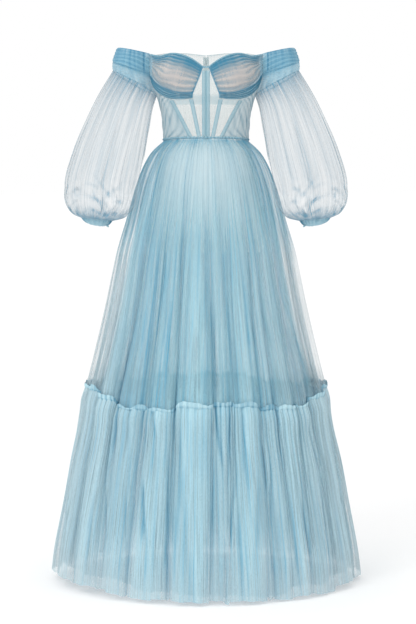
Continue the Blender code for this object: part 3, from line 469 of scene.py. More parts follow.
# Creases in the tier, at the front as in the photo: the turn and the share of the way down
# where each starts and ends, and its depth in mm.  A crease below 0 laps over to the left.
TIER_CREASES = [
    (-46, 0.31, -40, 0.74, 5), (-44, -0.1, -41, 0.4, -5), (-35, 0.42, -32, 0.8, 4),
    (-25, 0.33, -22, 0.78, 8), (-24, -0.1, -22, 0.18, 6), (-17.5, 0.1, -14, 1.2, -6),
    (-12, -0.1, -13, 0.36, 5), (-6, 0.58, -5, 1.2, 3), (-1, 0.55, -2, 1.1, -4),
    (3.5, -0.1, 8, 0.42, -5), (12, -0.1, 7, 0.6, 4), (13, 0.34, 9, 0.85, 4),
    (25, 0.15, 25, 0.5, 7), (28, 0.26, 26, 0.7, 4), (36, 0.3, 37, 1.2, -6),
    (45, -0.1, 47, 0.55, 5), (50, 0.0, 58, 0.6, 6), (25, 0.66, 27, 1.2, 5),
    (-32, 0.14, -28, 0.75, -3), (7, 0.64, 9, 1.2, 5), (21.5, 0.6, 21, 1.2, 5),
    (-80, 0.2, -67, 0.9, 5), (-66, 0.1, -58, 0.68, 6), (82, 0.3, 74, 0.92, -5),
    (77, 0.15, 66, 0.74, 6), (-52, 0.36, -49, 1.2, -5), (53, 0.36, 51, 1.2, 5),
    (-9, 0.06, -8, 0.6, 3), (17, -0.1, 16, 0.5, 4), (20, 0.34, 18, 0.82, -4),
    (-30, -0.1, -29, 0.38, 4), (35, -0.1, 33, 0.38, 5), (40, 0.45, 42, 0.95, 4),
    (-37, -0.1, -36, 0.3, 4), (60, 0.4, 60, 1.2, 4), (-60, 0.45, -58, 1.2, 4)]
# Similar ones, not seen in the photo, go round the back.
for turn in np.arange(94.0, 266.0, 5.3):
    rng = np.random.default_rng(int(turn * 10))
    start = rng.uniform(-0.3, 0.6)
    TIER_CREASES.append((
        turn + rng.uniform(-1.8, 1.8), start, turn + rng.uniform(-3.5, 3.5),
        start + rng.uniform(0.3, 0.8), rng.choice([-1, 1]) * rng.uniform(3.0, 7.0)))
CREASE_HALF = 0.85


def hem_height(turn):
    cut = np.interp(turn, HEM_CUTS[:, 0], HEM_CUTS[:, 1], period=360.0) * 0.001
    return cut + 0.0007 * wander(81, turn, (60, 97, 141))


def within(share, start, end):
    """1 inside a piece, easing to 0 over a share at its start and at its end."""
    return ease(share / start) * ease((1.0 - share) / end)


def creases(turn, down):
    """How far the creases sink and how far the cloth beside each stands up, in metres."""
    sunk, edge = 0.0 * turn, 0.0 * turn
    for start_turn, start, end_turn, end, deep in TIER_CREASES:
        along = (down - start) / (end - start)
        near = (turn - start_turn - (end_turn - start_turn) * along + 180.0) % 360.0 - 180.0
        strength = abs(deep) * 0.001 * within(along, 0.3, 0.4)
        beside = near - math.copysign(1.9 * CREASE_HALF, deep)
        sunk += strength * np.exp(-(near / CREASE_HALF) ** 2)
        edge += strength * np.exp(-(beside / (1.1 * CREASE_HALF)) ** 2)
    return sunk, edge


def tier_layer(turn, down, inset, seed):
    """Points of a tier layer, the same without folds, and how far its main, middle and
    small folds stand out.  Close gathers at the seam run together into fewer, larger folds
    below, which lean a little as they fall."""
    main, slide, lift = main_folds(turn, 1, 2, down[:, 0])
    seam = seam_height(turn, lift)
    z = seam + (HEM_Z + hem_height(turn) - seam) * down
    plain = section(TIER_FORM, turn, z)[0]
    points, out = section(TIER_FORM, turn + slide * (1.0 + 0.2 * down), z)
    come_and_go = 0.85 + 0.45 * wander(seed + 15, turn + 30.0 * down, (4, 9, 14))
    main = main * (1.0 - 0.5 * ease(down / 0.3) + 0.25 * ease((down - 0.5) / 0.5)) * (
        1.0 + (come_and_go - 1.0) * ease(down / 0.25))
    sway = 1.6 * down * wander(seed + 2, turn, (3, 7, 13))
    late = ease((down - 0.16 - 0.12 * wander(seed + 3, turn, (11, 23, 37))) / 0.4)
    early = 1.0 - 0.6 * late
    middle = gathers(turn + sway, 41, seed + 5, 1.5) * (0.0008 + 0.0022 * late)
    finer = 0.001 + 0.0016 * ease(down / 0.15) * early
    middle = middle + gathers(turn - sway, 83, seed + 7, 1.3) * finer
    small = gathers(turn, 190, seed + 9, 1.2) * (0.0019 * early + 0.0002)
    puff = 0.004 * bump(down, 0.06, 0.05)
    rise = main + middle + small + puff - inset
    return points, out, plain, rise, main, middle, small


def back_fade(turn, down, start, most):
    """What is left of a layer's cover: less near the back hem, where light comes through."""
    return 1.0 - most * ease((down - start) / (1.0 - start)) * ease((np.abs(turn) - 95.0) / 30.0)


turn, down = ring_grid(1680, np.linspace(1.0, 0.0, 36) ** 1.3)
points, out, plain, rise, main, middle, small = tier_layer(turn, down, 0.0, 80)
sunk, edge = creases(turn, down)
points += out * (rise - sunk + 0.6 * edge)[..., None]
cover, slope = woven(points, plain, 0.5)
near_seam = np.exp(-down / 0.045)
at_side = sideways(turn)
low = ease((down - 0.8 + 0.06 * at_side) / 0.2)
cover = cover * back_fade(turn, down, 0.82, 0.5) * (1.0 - 0.05 * low) + 0.2 * near_seam
# The colour deepens in the valleys of the folds and in the creases and is paler on the cloth
# beside each crease: painted shade and painted highlight.  It is greyed at the sides, a painted
# shade, and toward the hem.
tier = shell("tier_tulle", points, True, np.clip(cover, 0, 0.97),
             np.clip(0.32 - main * 7.0 - middle * 65.0 - small * 140.0 + sunk * 75.0 - edge * 50.0
                     - 0.04 * (slope - 1.0) + 0.1 * near_seam - 0.06 * low, 0, 1),
             0.5 * at_side + 0.22 * low)
dress_piece(tier, tulle("gathered tier tulle", "b4d7e1", "3889a9", fine=0.55, wide=0.36),
            ["tier_front", "tier_back_left", "tier_back_right"])

turn, down = ring_grid(900, np.linspace(1.0, 0.02, 22))
points, out, plain, rise, main, middle, small = tier_layer(turn + 5.0, down, INNER_TIER_INSET, 90)
points += out * rise[..., None]
shorter = 0.024 - 0.018 * bump(turn, 12.0, 28.0) + 0.006 * wander(91, turn, (4, 9, 15))
shorter = np.where(np.abs(turn) > 90.0, 0.7 * shorter, shorter)
points[..., 2] += shorter * down
cover = woven(points, plain, 0.48)[0] * back_fade(turn, down, 0.8, 0.6)
# Its colour deepens in the valleys of its folds, a painted shade, and it is greyed toward the hem.
inner_tier = shell("inner_tier_tulle", points, True, np.clip(cover, 0, 0.9),
                   np.clip(0.48 - (main + middle) * 14.0, 0, 1), 0.35 * ease((down - 0.8) / 0.2))
dress_piece(inner_tier, tulle("inner tier tulle", "a5ccda", "357b9c"), ())

# HEADING
# The standing edge over the tier seam: the tier's own doubled edge, which follows the
# skirt's folds, stands flat on them and sinks between them.  Its colour is painted paler on
# the folds and darker between them and in its pinch: painted light and shade.

HEADING_HIGH = 0.0155

turn, up = ring_grid(1800, np.linspace(0.0, 1.0, 9))
main, slide, lift = main_folds(turn, 1, 2, np.zeros(up.shape[0]))
lobe = ease((main - 0.004) / 0.006)
flap = np.clip(0.4 + 0.35 * lobe + 0.55 * wander(75, turn, (11, 17, 29, 41)), 0.0, 1.0)
crimp = gathers(turn, 190, 89, 1.2)
z = seam_height(turn, lift) - 0.004 + HEADING_HIGH * (0.34 + 0.66 * flap + 0.08 * crimp) * up
points, out = section(SKIRT_FORM, turn + slide, z)
pinch = bump(up, 0.12, 0.14)
lean = main + 0.0062 + 0.0034 * up * flap + 0.0013 * crimp - 0.0022 * pinch
points += out * lean[..., None]
# Painted shade: darker in the valleys and the pinch, paler on the lobes and crimps.
valley = np.clip(0.35 - main * 60.0, 0, 1)
fold = (0.44 - 0.16 * lobe + 0.14 * wander(76, turn, (5, 9, 16, 27)) + 0.24 * pinch
        + 0.6 * valley - 0.26 * crimp * (1.0 - 0.3 * up))
heading = shell("tier_heading", points, True, 0.9, np.clip(fold, 0, 1))
dress_piece(heading, tulle("doubled tulle edge", "b8d9e2", "3781a0", fine=0.35, wide=0.3),
            ())

# BODICE FORM
# The figure that the corset is cut for, with room for the cups.  The sections, seams and
# edges below are the pattern that all the corset's pieces share.

TORSO_FORM = {
    "z": (0.0, 0.033, 0.064, 0.094, 0.112, 0.135, 0.167, 0.2, 0.24),
    "half_width": (0.1071, 0.1094, 0.1122, 0.1186, 0.124, 0.1335, 0.145, 0.15, 0.153),
    "front": (0.085, 0.0895, 0.0955, 0.102, 0.106, 0.1085, 0.11, 0.109, 0.106),
    "back": (0.08, 0.082, 0.0852, 0.089, 0.0918, 0.0955, 0.1, 0.1035, 0.106)}
TORSO_POWER = 2.2
BUST = {"x": 0.078, "z": 0.158, "wide": 0.044, "tall": 0.046, "rise": 0.021}
CUP_FORM = {
    "u": (0.0, 0.2, 0.4, 0.6, 0.8, 1.0),
    "foot_x": (0.0317, 0.056, 0.08, 0.103, 0.123, 0.1382),
    "foot_z": (0.1093, 0.1105, 0.117, 0.129, 0.1465, 0.167),
    "top_x": (0.0066, 0.033, 0.06, 0.085, 0.113, 0.1398),
    "top_z": (0.1745, 0.1935, 0.2055, 0.209, 0.205, 0.2125)}


def torso(turn, z, out=0.0):
    """Points on the figure, or a little out from it, with the swell of the cups."""
    points, way = section(TORSO_FORM, turn, z, TORSO_POWER)
    facing = ease(np.cos(np.radians(turn)) / 0.3)
    beside, above = np.abs(points[..., 0]) - BUST["x"], z - BUST["z"]
    bust = np.exp(-(beside / BUST["wide"]) ** 2 - (above / BUST["tall"]) ** 2)
    return points + way * (BUST["rise"] * facing * bust + out)[..., None]


def turn_of(x, z):
    """The turn at which the bodice's form reaches a place across the front."""
    share = np.clip(np.abs(x) / curve(TORSO_FORM, "z", z, "half_width"), 0.0, 1.0)
    return np.degrees(np.arcsin(share ** (TORSO_POWER / 2.0)))


def pair(names, points, cover, fold, material,
         around=False):
    """The wearer's left piece and its mirror image, each in place of its own CAD node."""
    name, node = names
    for side, sign in (("left", 1), ("right", -1)):
        hide, deep = (None if share is None
                      else np.broadcast_to(share, points.shape[:2])[:, ::sign]
                      for share in (cover, fold))
        grid = (points * np.array([sign, 1.0, 1.0]))[:, ::sign]
        item = shell(name + "_" + side, grid, around, hide, deep)
        dress_piece(item, material, [node + "_" + side] if node else ())


# CORSET PANELS
# Centre, middle and back panels of fine power mesh over the same tulle: smooth, sheer and
# pale, cut to the figure and seamed under the boning channels.  A stay of the same tulle
# lies behind them just under the cups.

INNER_SEAM = {"low": (0.0162, 0.0004), "high": (0.0376, 0.104)}
OUTER_SEAM = {"low": (0.036, 0.0004), "middle": (0.0817, 0.0915), "high": (0.096, 0.1262)}
WAIST_Z = 0.0004
STAY_Z = 0.084
CENTRE_GAP = 0.0002
CENTRE_TOP = (0.006, 0.1733)
CUP_CORNER_X = 0.0398


def bent_panel(edges, rows):
    """Grid between columns that each run low, middle, top as (x or turn, z)."""
    edges = np.array(edges)
    share = np.linspace(0.0, 1.0, rows)[:, None, None]
    low, mid, top = (edges[None, :, i, :] for i in range(3))
    grid = np.where(share < 0.6, low + (mid - low) * share / 0.6,
                    mid + (top - mid) * (share - 0.6) / 0.4)
    return grid[..., 0], grid[..., 1]


def blend(first, second, share):
    """A place part of the way from one (x, z) to another."""
    return tuple(a + (b - a) * share for a, b in zip(first, second))


corset_mesh = tulle("power mesh and tulle", "c9d3d1", "74a1b0", grain=0.15, fine=0.12, wide=0.15)


def panel(names, points):
    """A mesh panel, a little deeper in colour beside its seams and over the stay."""
    height = points[..., 2]
    behind = ease((height - STAY_Z + 0.0015) / 0.003) * ease((0.112 - height) / 0.01)
    beside = np.exp(-np.linspace(0, 1, points.shape[1]) / 0.05)[None, :]
    beside = beside + beside[:, ::-1]
    pair(names, points, 0.29 + 0.24 * behind + 0.15 * beside, 0.1 + 0.46 * behind + 0.25 * beside,
         corset_mesh)


edges = []
for share in np.linspace(0.0, 1.0, 12):
    low, high = (CENTRE_GAP + (INNER_SEAM[end][0] - 2 * CENTRE_GAP) * share
                 for end in ("low", "high"))
    edges.append([(low, WAIST_Z), (high, INNER_SEAM["high"][1]),
                  (CENTRE_GAP + CENTRE_TOP[0] * share, CENTRE_TOP[1])])
x, z = bent_panel(edges, 90)
panel(("mesh_front_centre_panel", "front_centre_panel"), torso(turn_of(x, z), z))

edges = []
for share in np.linspace(0.0, 1.0, 16):
    top_x = CUP_CORNER_X + (OUTER_SEAM["high"][0] - CUP_CORNER_X) * share
    edges.append([blend(INNER_SEAM["low"], OUTER_SEAM["low"], share),
                  blend(INNER_SEAM["high"], OUTER_SEAM["middle"], share),
                  (top_x, float(curve(CUP_FORM, "foot_x", top_x, "foot_z")) + 0.001)])
x, z = bent_panel(edges, 80)
panel(("mesh_front_middle_panel", "front_middle_panel"), torso(turn_of(x, z), z))

BACK_TOP = {
    "turn": (90.4, 95.0, 100.0, 105.0, 109.0, 112.0, 122.0, 136.0, 150.0, 163.0, 172.0, 180.0),
    "z": (0.112, 0.1215, 0.1365, 0.1535, 0.175, 0.219, 0.2265, 0.2325, 0.235, 0.236, 0.2335,
          0.231)}
BACK_SEAM_TURN = 179.8
turn, up = np.meshgrid(np.linspace(BACK_TOP["turn"][0], BACK_SEAM_TURN, 44),
                       np.linspace(0.0, 1.0, 90))
z = WAIST_Z + (np.interp(turn, BACK_TOP["turn"], BACK_TOP["z"]) - WAIST_Z) * up
top_edge = np.exp(-(1.0 - up) / 0.012)
pair(("mesh_back_panel", "back_panel"), torso(turn, z), 0.34 + 0.4 * top_edge,
     0.16 + 0.5 * top_edge, corset_mesh)

# SIDE PANELS
# Ruched side panels: a strip of tulle half as long again as the mesh under it, caught in
# the side and channel seams so that it wrinkles across.

SIDE_TOP = {"turn": (44.0, 50.0, 56.0, 62.0, 68.5, 72.0, 76.0, 82.0, 89.6),
            "z": (0.1243, 0.1303, 0.1385, 0.1477, 0.16, 0.159, 0.1475, 0.127, 0.112)}
SIDE_SEAM_TURN = 89.8
SIDE_DROP = 0.0115


def ridges(lines, power):
    """A rounded ridge at each whole number, narrower for a higher power."""
    return (0.5 + 0.5 * np.cos(math.tau * lines)) ** power


ruched_tulle = tulle("ruched bodice tulle", "b1c4c9", "4f7f94", grain=0.2, fine=0.15, wide=0.2)
start = [float(turn_of(*OUTER_SEAM[k])) for k in ("low", "middle", "high")]
edges = []
for share in np.linspace(0.0, 1.0, 60):
    top = start[2] + (SIDE_TOP["turn"][-1] - start[2]) * share
    edges.append([(start[0] + (SIDE_SEAM_TURN - start[0]) * share, WAIST_Z),
                  (start[1] + (SIDE_SEAM_TURN - start[1]) * share ** 1.1,
                   OUTER_SEAM["middle"][1] - SIDE_DROP * share),
                  (top, float(curve(SIDE_TOP, "turn", top, "z")))])
turn, z = bent_panel(edges, 110)
across, up = np.meshgrid(np.linspace(0.0, 1.0, 60), np.linspace(0.0, 1.0, 110))
rim = within(across, 0.1, 0.03) * within(up, 0.04, 0.15)
# Creases fan out of the side seam and die away toward the channel.
fan = (9.0 * (up - 0.5 * (1.0 - across)) + 0.8 * np.sin(7.0 * up + 1.0)
       + 0.15 * np.sin(9.0 * across))
crease = ridges(fan, 2.2)
strength = (0.35 + 0.65 * across) * (0.75 + 0.25 * np.sin(19.0 * up + 2.0 * across))
points = torso(turn, z, 0.001 + 0.0018 * (0.5 - crease) * strength * rim)
# The colour deepens in the creases, a painted shade, by the channel seam and toward the side seam.
fold = np.clip(0.24 + 0.72 * crease * strength * rim + 0.2 * across ** 2
               + 0.2 * np.exp(-across / 0.03), 0, 1)
pair(("ruched_side_panel", "side_panel"), points, 0.56 + 0.36 * fold, fold, ruched_tulle)

# BONING CHANNELS
# Woven tape about 9 mm wide, folded round a plastic bone and stitched down both edges over
# each front seam, a little raised along the bone.

CHANNEL_HALF = 0.0047
CENTRE_WIDE = 0.019
CENTRE_TUNNEL = 0.005
CENTRE_HALF = 0.0036
CHANNEL_FOOT = 0.0062
TAPE_RAISED = 0.0018
BONE_RAISED = 0.0011


def woven_tape(name, face, shade, stitch):
    """Cotton tape is matt and opaque with a fine rib; its stitches are 3 mm long."""
    material, shader = surface(name, {"Roughness": 0.85, "Alpha": 0.8})
    place = add(material, "Attribute", {"attribute_name": "weave"})
    rib = add(material, "TexWave", {"Scale": 90.0, "Distortion": 1.5, "bands_direction": "Y"},
              Vector=place.outputs["Vector"])
    edge = add(material, "Attribute", {"attribute_name": "fold"})
    base = two_tone(material, face, shade, rib.outputs["Fac"])
    tone = add(material, "Mix", {"data_type": "RGBA", "7": linear(stitch)},
               i0=edge.outputs["Fac"], i6=base.outputs[2])
    return coloured(material, shader, tone)


boning_tape = woven_tape("boning channel tape", "a0bec8", "8db1bd", "6397aa")


def channel(name, node, seam, high):
    """The pair of tapes along a seam, from the waist up to a height."""
    (x0, z0), (x1, z1) = seam
    height = np.linspace(CHANNEL_FOOT, high, 26)
    share, z = np.meshgrid(np.linspace(-1.0, 1.0, 9), height)
    x = x0 + (x1 - x0) * (z - z0) / (z1 - z0) + CHANNEL_HALF * share
    edge = np.clip(1.6 * bump(np.abs(share), 0.9, 0.16), 0, 1)
    points = torso(turn_of(x, z), z, TAPE_RAISED + BONE_RAISED * (1.0 - share ** 2))
    points[..., 0] = np.where(x < 0, -points[..., 0], points[..., 0])
    pair((name, node), points, 1.0, edge, boning_tape)


x, z = np.meshgrid(np.linspace(-CENTRE_WIDE / 2, CENTRE_WIDE / 2, 27),
                   np.linspace(CHANNEL_FOOT, 0.1665, 60))
tunnel = np.clip(1.0 - ((np.abs(x) - CENTRE_TUNNEL) / CENTRE_HALF) ** 2, 0.0, 1.0)
points = torso(turn_of(x, z) * np.sign(x), z, TAPE_RAISED + BONE_RAISED * tunnel)
edge = np.clip(1.4 * bump(np.abs(np.abs(x) - CENTRE_TUNNEL), CENTRE_HALF, 0.0006), 0, 1)
dress_piece(shell("centre_boning", points, False, 1.0, edge), boning_tape,
            ["centre_channel_left", "centre_channel_right"])
channel("inner_boning", "inner_channel", (INNER_SEAM["low"], INNER_SEAM["high"]), 0.096)
channel("outer_boning", "outer_channel", (OUTER_SEAM["low"], OUTER_SEAM["middle"]), 0.0955)

# CUPS
# Moulded cups lined in nude jersey, covered with tulle that is ruched across them and
# pinned along the neckline and the seams, so that the lining glows through its middle.

u, v = np.meshgrid(np.linspace(0.0, 1.0, 70), np.linspace(0.0, 1.0, 120))
x, z = (curve(CUP_FORM, "u", u, "foot" + axis) * (1 - v)
        + curve(CUP_FORM, "u", u, "top" + axis) * v for axis in ("_x", "_z"))
rim = within(v, 0.04, 0.05) * within(u, 0.03, 0.05)
# Ruching lines, not evenly spaced, that sag in the middle of the cup and crowd together
# at its outer end; some fork.
lines = (8.6 * v + 1.1 * np.sin(2.6 * u + 0.4) * (1.0 - 0.6 * v) + 0.55 * np.sin(6.5 * v + 1.0)
         + 0.3 * np.sin(10.0 * u + 5.0 * v) * ease((u - 0.25) / 0.3))
fork = ridges(1.9 * lines + 0.35 * np.sin(5.0 * u), 2.0)
ruche = (ridges(lines, 1.6) * (0.65 + 0.35 * np.sin(7.0 * u + 4.0 * v))
         + 0.35 * fork * ease((u - 0.35) / 0.4))
seam = np.exp(-u / 0.022) + 0.8 * np.exp(-v / 0.04)
outer_side = ease((u - 0.62) / 0.38)
outer_low_shade = ease((u - 0.74) / 0.2) * bump(v, 0.3, 0.22)
toward_top = ease((v - 0.58) / 0.42)
middle = np.exp(-((u - 0.42) / 0.26) ** 2 - ((v - 0.38) / 0.3) ** 2)
# The colour is painted paler on the ruched ridges and darker low at the outer end where they
# crowd: painted light and shade.
fold = np.clip(0.62 - 0.7 * ruche * rim + 0.9 * seam + 0.12 * outer_low_shade + 0.54 * toward_top
               - 0.42 * ease((u - 0.86) / 0.14) - 0.22 * middle, 0, 1)
cover = np.clip(0.38 + 0.36 * fold + 0.1 * outer_side + 0.26 * toward_top - 0.14 * middle
                + 0.3 * seam, 0.1, 0.95)
pair(("ruched_cup", "cup"), torso(turn_of(x, z), z, 0.002 + 0.0018 * ruche * rim), cover, fold,
     tulle("ruched cup tulle", "a6c0ca", "3f7c98", grain=0.15, fine=0.12, wide=0.12))
pair(("nude_cup_lining", "cup_lining"), torso(turn_of(x, z), z, -0.0008)[4:-4:5, 1:-1:4],
     None, None, woven_lining("nude cup lining", "efd8cb", "e6c9ba", 0.97))

# NECK BINDING
# A narrow bias strip of tulle folded over the top of the cups and stitched through.  It is
# several layers thick, so it shows as a thin darker line along the neck.

edge_u = np.linspace(0.0, 1.0, 90)
edge_x = curve(CUP_FORM, "u", edge_u, "top_x")
edge_z = curve(CUP_FORM, "u", edge_u, "top_z")
edge_x = np.concatenate([np.linspace(0.0004, edge_x[0], 6)[:-1], edge_x])
edge_z = np.concatenate([np.linspace(edge_z[0] - 0.0008, edge_z[0], 6)[:-1], edge_z])
# How far out and how high above the edge the strip runs as it goes over it.
BINDING_RING = ((0.003, -0.0006), (0.0036, 0.001), (0.0026, 0.0028), (0.0004, 0.0034),
                (-0.0012, 0.0026), (-0.0016, 0.0008))
rows = [torso(turn_of(edge_x, edge_z + rise), edge_z + rise, out) for out, rise in BINDING_RING]
pair(("bias_neck_binding", "neck_binding"), np.array(rows), 0.85, 0.35,
     tulle("folded tulle binding", "8bb4c3", "457f9a", grain=0.15, fine=0.2))

# UNDERBUST DRAPE
# A length of tulle gathered at the middle channels and drawn up under each cup into the
# armhole, where its pleats crowd together and thicken; it is painted darker there and just
# under the cup, a painted shade.

DRAPE_FORM = {"u": (0.0, 0.2, 0.4, 0.6, 0.8, 1.0),
              "low_x": (0.0325, 0.056, 0.08, 0.102, 0.1195, 0.1315),
              "low_z": (0.0996, 0.0972, 0.099, 0.1075, 0.1235, 0.145)}
u, v = np.meshgrid(np.linspace(0.0, 1.0, 80), np.linspace(0.0, 1.0, 56))
x = curve(DRAPE_FORM, "u", u, "low_x") * (1 - v) + curve(CUP_FORM, "u", u, "foot_x") * v
z = curve(DRAPE_FORM, "u", u, "low_z") * (1 - v) + (curve(CUP_FORM, "u", u, "foot_z") - 0.0002) * v
rim = within(v, 0.08, 0.06) * within(u, 0.05, 0.04)
lines = 3.6 * v + 0.55 * np.sin(2.3 * u + 0.4) + 0.12 * np.sin(9.0 * u + 6.0 * v)
pleat = ridges(lines, 1.4)
crowd = ease((u - 0.55) / 0.45)
# Painted shade: paler on the pleats' ridges, darker toward the armhole and just under the cup.
fold = np.clip(0.97 - 0.44 * pleat * rim + 0.32 * crowd + 0.35 * np.exp(-(1 - v) / 0.05), 0, 1)
cover = np.clip(0.7 + 0.22 * fold + 0.12 * crowd - 0.16 * np.exp(-v / 0.06), 0, 0.95)
pair(("gathered_underbust_drape", "underbust_drape"),
     torso(turn_of(x, z), z, 0.0022 + 0.0022 * pleat * rim), cover, fold,
     tulle("gathered drape tulle", "a0c1cd", "427d97", grain=0.15, fine=0.15, wide=0.15))

# WAIST SEAM
# The gathered skirts are caught under a narrow tulle stay that is tacked over the seam,
# so the waist reads as one darker puckered line.

turn, up = np.meshgrid(np.linspace(-175.8, 175.8, 900), np.linspace(0.0, 1.0, 10))
pucker = gathers(turn, 84, 61)
rolled = np.sin(math.pi * up)
ragged = (0.0012 + 0.001 * pucker) * up
points = torso(turn, 0.0002 + 0.004 * up + ragged,
               0.0018 + 0.0014 * rolled + 0.0006 * pucker * rolled)
# The colour is paler on the puckers and darker between them, a painted shade, and deeper at the
# side seams.
fold = 0.62 - 0.34 * pucker - 0.25 * up + 0.6 * np.abs(np.sin(np.radians(turn))) ** 30
waist = shell("puckered_waist_stay", points, False, 0.9 - 0.25 * up, np.clip(fold, 0, 1))
dress_piece(waist, tulle("tacked waist tulle", "9cc1cd", "3c7a95", grain=0.15, fine=0.4, wide=0.2),
            ["waist_seam"])

# SHOULDER BANDS
# Off-shoulder bands: a wide strip of tulle pleated down to a quarter of its width and
# wrapped round the outside of each arm from the front of the armhole to the back.

BAND_FORM = {
    "up": (0.0, 0.25, 0.5, 0.75, 1.0),
    "outer_x": (0.2355, 0.2375, 0.2345, 0.229, 0.2244),
    "outer_z": (0.174, 0.19, 0.208, 0.223, 0.2344),
    "inner_x": (0.127, 0.128, 0.129, 0.1295, 0.13),
    "inner_z": (0.113, 0.142, 0.172, 0.196, 0.213),
    "mid_y": (-0.004, -0.003, -0.002, -0.001, 0.0),
    "half_depth": (0.06, 0.0615, 0.0615, 0.06, 0.0585),
    "reach": (148.0, 138.0, 131.0, 127.0, 125.0)}
ARMHOLE = {"z": (0.112, 0.122, 0.135, 0.15, 0.167, 0.19, 0.22),
           "front": (89.0, 84.5, 79.5, 75.5, 72.8, 71.0, 69.8),
           "back": (91.0, 94.5, 99.0, 103.5, 107.5, 110.5, 112.0)}
ARM_POWER = 2.3


def arm_ring(form, key, at, turn):
    """Points round an arm; turn 0 is outermost and 90 is the back.  Also the ring's middle."""
    outer = np.stack([curve(form, key, at, c) for c in ("outer_x", "mid_y", "outer_z")], axis=-1)
    inner = np.stack([curve(form, key, at, c) for c in ("inner_x", "mid_y", "inner_z")], axis=-1)
    centre = (outer + inner) / 2.0
    c, s = np.cos(np.radians(turn)), np.sin(np.radians(turn))
    across = (np.sign(c) * np.abs(c) ** (2.0 / ARM_POWER))[..., None]
    depth = np.sign(s) * np.abs(s) ** (2.0 / ARM_POWER) * curve(form, key, at, "half_depth")
    points = centre + (outer - centre) * across
    points[..., 1] += depth
    return points, centre


def away(points, centre):
    """Unit directions from the middle of an arm outward."""
    out = points - centre
    return out / np.linalg.norm(out, axis=-1, keepdims=True)


share, up = np.meshgrid(np.linspace(-1.0, 1.0, 170), np.linspace(0.0, 1.0, 96))
points, centre = arm_ring(BAND_FORM, "up", up, share * curve(BAND_FORM, "up", up, "reach"))
for column, edge, lean in (("front", 0, -1.8), ("back", -1, 1.8)):
    end = points[:, edge]
    hold = torso(curve(ARMHOLE, "z", end[:, 2], column) + lean, end[:, 2], 0.0006)
    pull = ease(((-share if edge == 0 else share) - 0.55) / 0.45)
    points = points + (hold - end)[:, None, :] * pull[..., None]
out = away(points, centre)
rim = within(up, 0.03, 0.03)
# The upper half is pleated flat and tacked down beside the cup; the lower half is a looser,
# sheerer fall that runs on into the sleeve.
dense = ease((up - 0.36 - 0.03 * np.sin(4.0 * share)) / 0.09)
lines = (9.0 * up + 0.8 * np.sin(3.1 * up + 0.5) + 0.3 * np.sin(2.6 * share + 0.4)
         + 0.16 * np.sin(9.0 * share + 7.0 * up) + 1.0 * (up - 0.4) * ease((-share - 0.5) / 0.5))
small = ridges(2.3 * lines + 0.3 * np.sin(6.0 * share), 1.5)
relief = ridges(lines, 1.3) * (0.75 + 0.25 * np.sin(5.0 * share + 9.0 * up)) + 0.35 * small
relief = relief * (0.55 + 0.45 * dense)
crowd = ease((np.abs(share) - 0.9) / 0.1)
tacked = np.exp(-((share + 0.86) / 0.012) ** 2) * dense
beyond = ease((-share - 0.86) / 0.02) * dense
waves = np.sin(math.tau * (10.0 * share + 1.2 * np.sin(5.0 * share) + 2.0 * up))
soft = 0.6 * (1.0 - dense) * waves * ease((0.5 - up) / 0.5)
lap_line = np.exp(-((up - 0.37 - 0.03 * np.sin(4.0 * share)) / 0.022) ** 2)
points += out * (0.0013 * relief * rim + 0.0012 * dense - 0.001 * tacked + 0.0006)[..., None]
# Painted shade: the colour is paler on the pleats' ridges and darker between them, along the lap
# line and in the tacked dip; it is deeper and denser in soft waves down the lower half.
fold = np.clip(0.28 + 0.4 * dense - 0.26 * relief * rim - 0.05 * crowd + 0.34 * tacked
               + 0.45 * lap_line - 0.26 * beyond + 0.08 * ease((up - 0.8) / 0.2)
               + 0.22 * soft, 0, 1)
cover = np.clip(0.55 + 0.37 * dense + 0.16 * fold - 0.16 * beyond + 0.1 * soft
                - 0.1 * np.exp(-up / 0.06), 0, 0.97)
pair(("pleated_shoulder_band", "shoulder_band"), points, cover, fold,
     tulle("pleated band tulle", "97c1d0", "33779a", grain=0.15, fine=0.15, wide=0.2))

# SLEEVES
# Balloon sleeves: one layer of the sheerest tulle, gathered into the band above and a
# narrow elastic below, so it stands out in fine crisp folds that crumple near the cuff.

SLEEVE_FORM = {
    "down": (0.0, 0.13, 0.3, 0.55, 0.76, 0.88, 0.95, 1.0),
    "outer_x": (0.2358, 0.2675, 0.297, 0.333, 0.352, 0.348, 0.331, 0.3107),
    "outer_z": (0.1785, 0.1238, 0.0611, -0.033, -0.115, -0.164, -0.188, -0.1978),
    "inner_x": (0.125, 0.137, 0.146, 0.16, 0.172, 0.181, 0.208, 0.2355),
    "inner_z": (0.1175, 0.0835, 0.0307, -0.057, -0.123, -0.174, -0.1975, -0.2054),
    "mid_y": (-0.004, -0.013, -0.026, -0.05, -0.064, -0.069, -0.07, -0.07),
    "half_depth": (0.06, 0.066, 0.075, 0.0865, 0.0885, 0.08, 0.062, 0.036)}
SLEEVE_FOLD_MM = {"down": (0.0, 0.1, 0.35, 0.7, 0.9, 1.0), "rise": (1.0, 2.2, 3.8, 4.6, 3.8, 0.9)}
SKIRT_CLEAR = 0.016

turn, down = ring_grid(540, np.linspace(1.0, 0.0, 92))
points, centre = arm_ring(SLEEVE_FORM, "down", down, turn)
plain = points.copy()
out = away(points, centre)
height = curve(SLEEVE_FOLD_MM, "down", down, "rise") * 0.001
drift = 9.0 * wander(108, 140.0 * down, (1, 2)) * down
rise = height * (0.62 * gathers(turn + drift, 12, 110, 1.5)
                 + 0.3 * gathers(turn - 0.5 * drift, 31, 120, 1.4)
                 + 0.1 * gathers(turn, 67, 130))
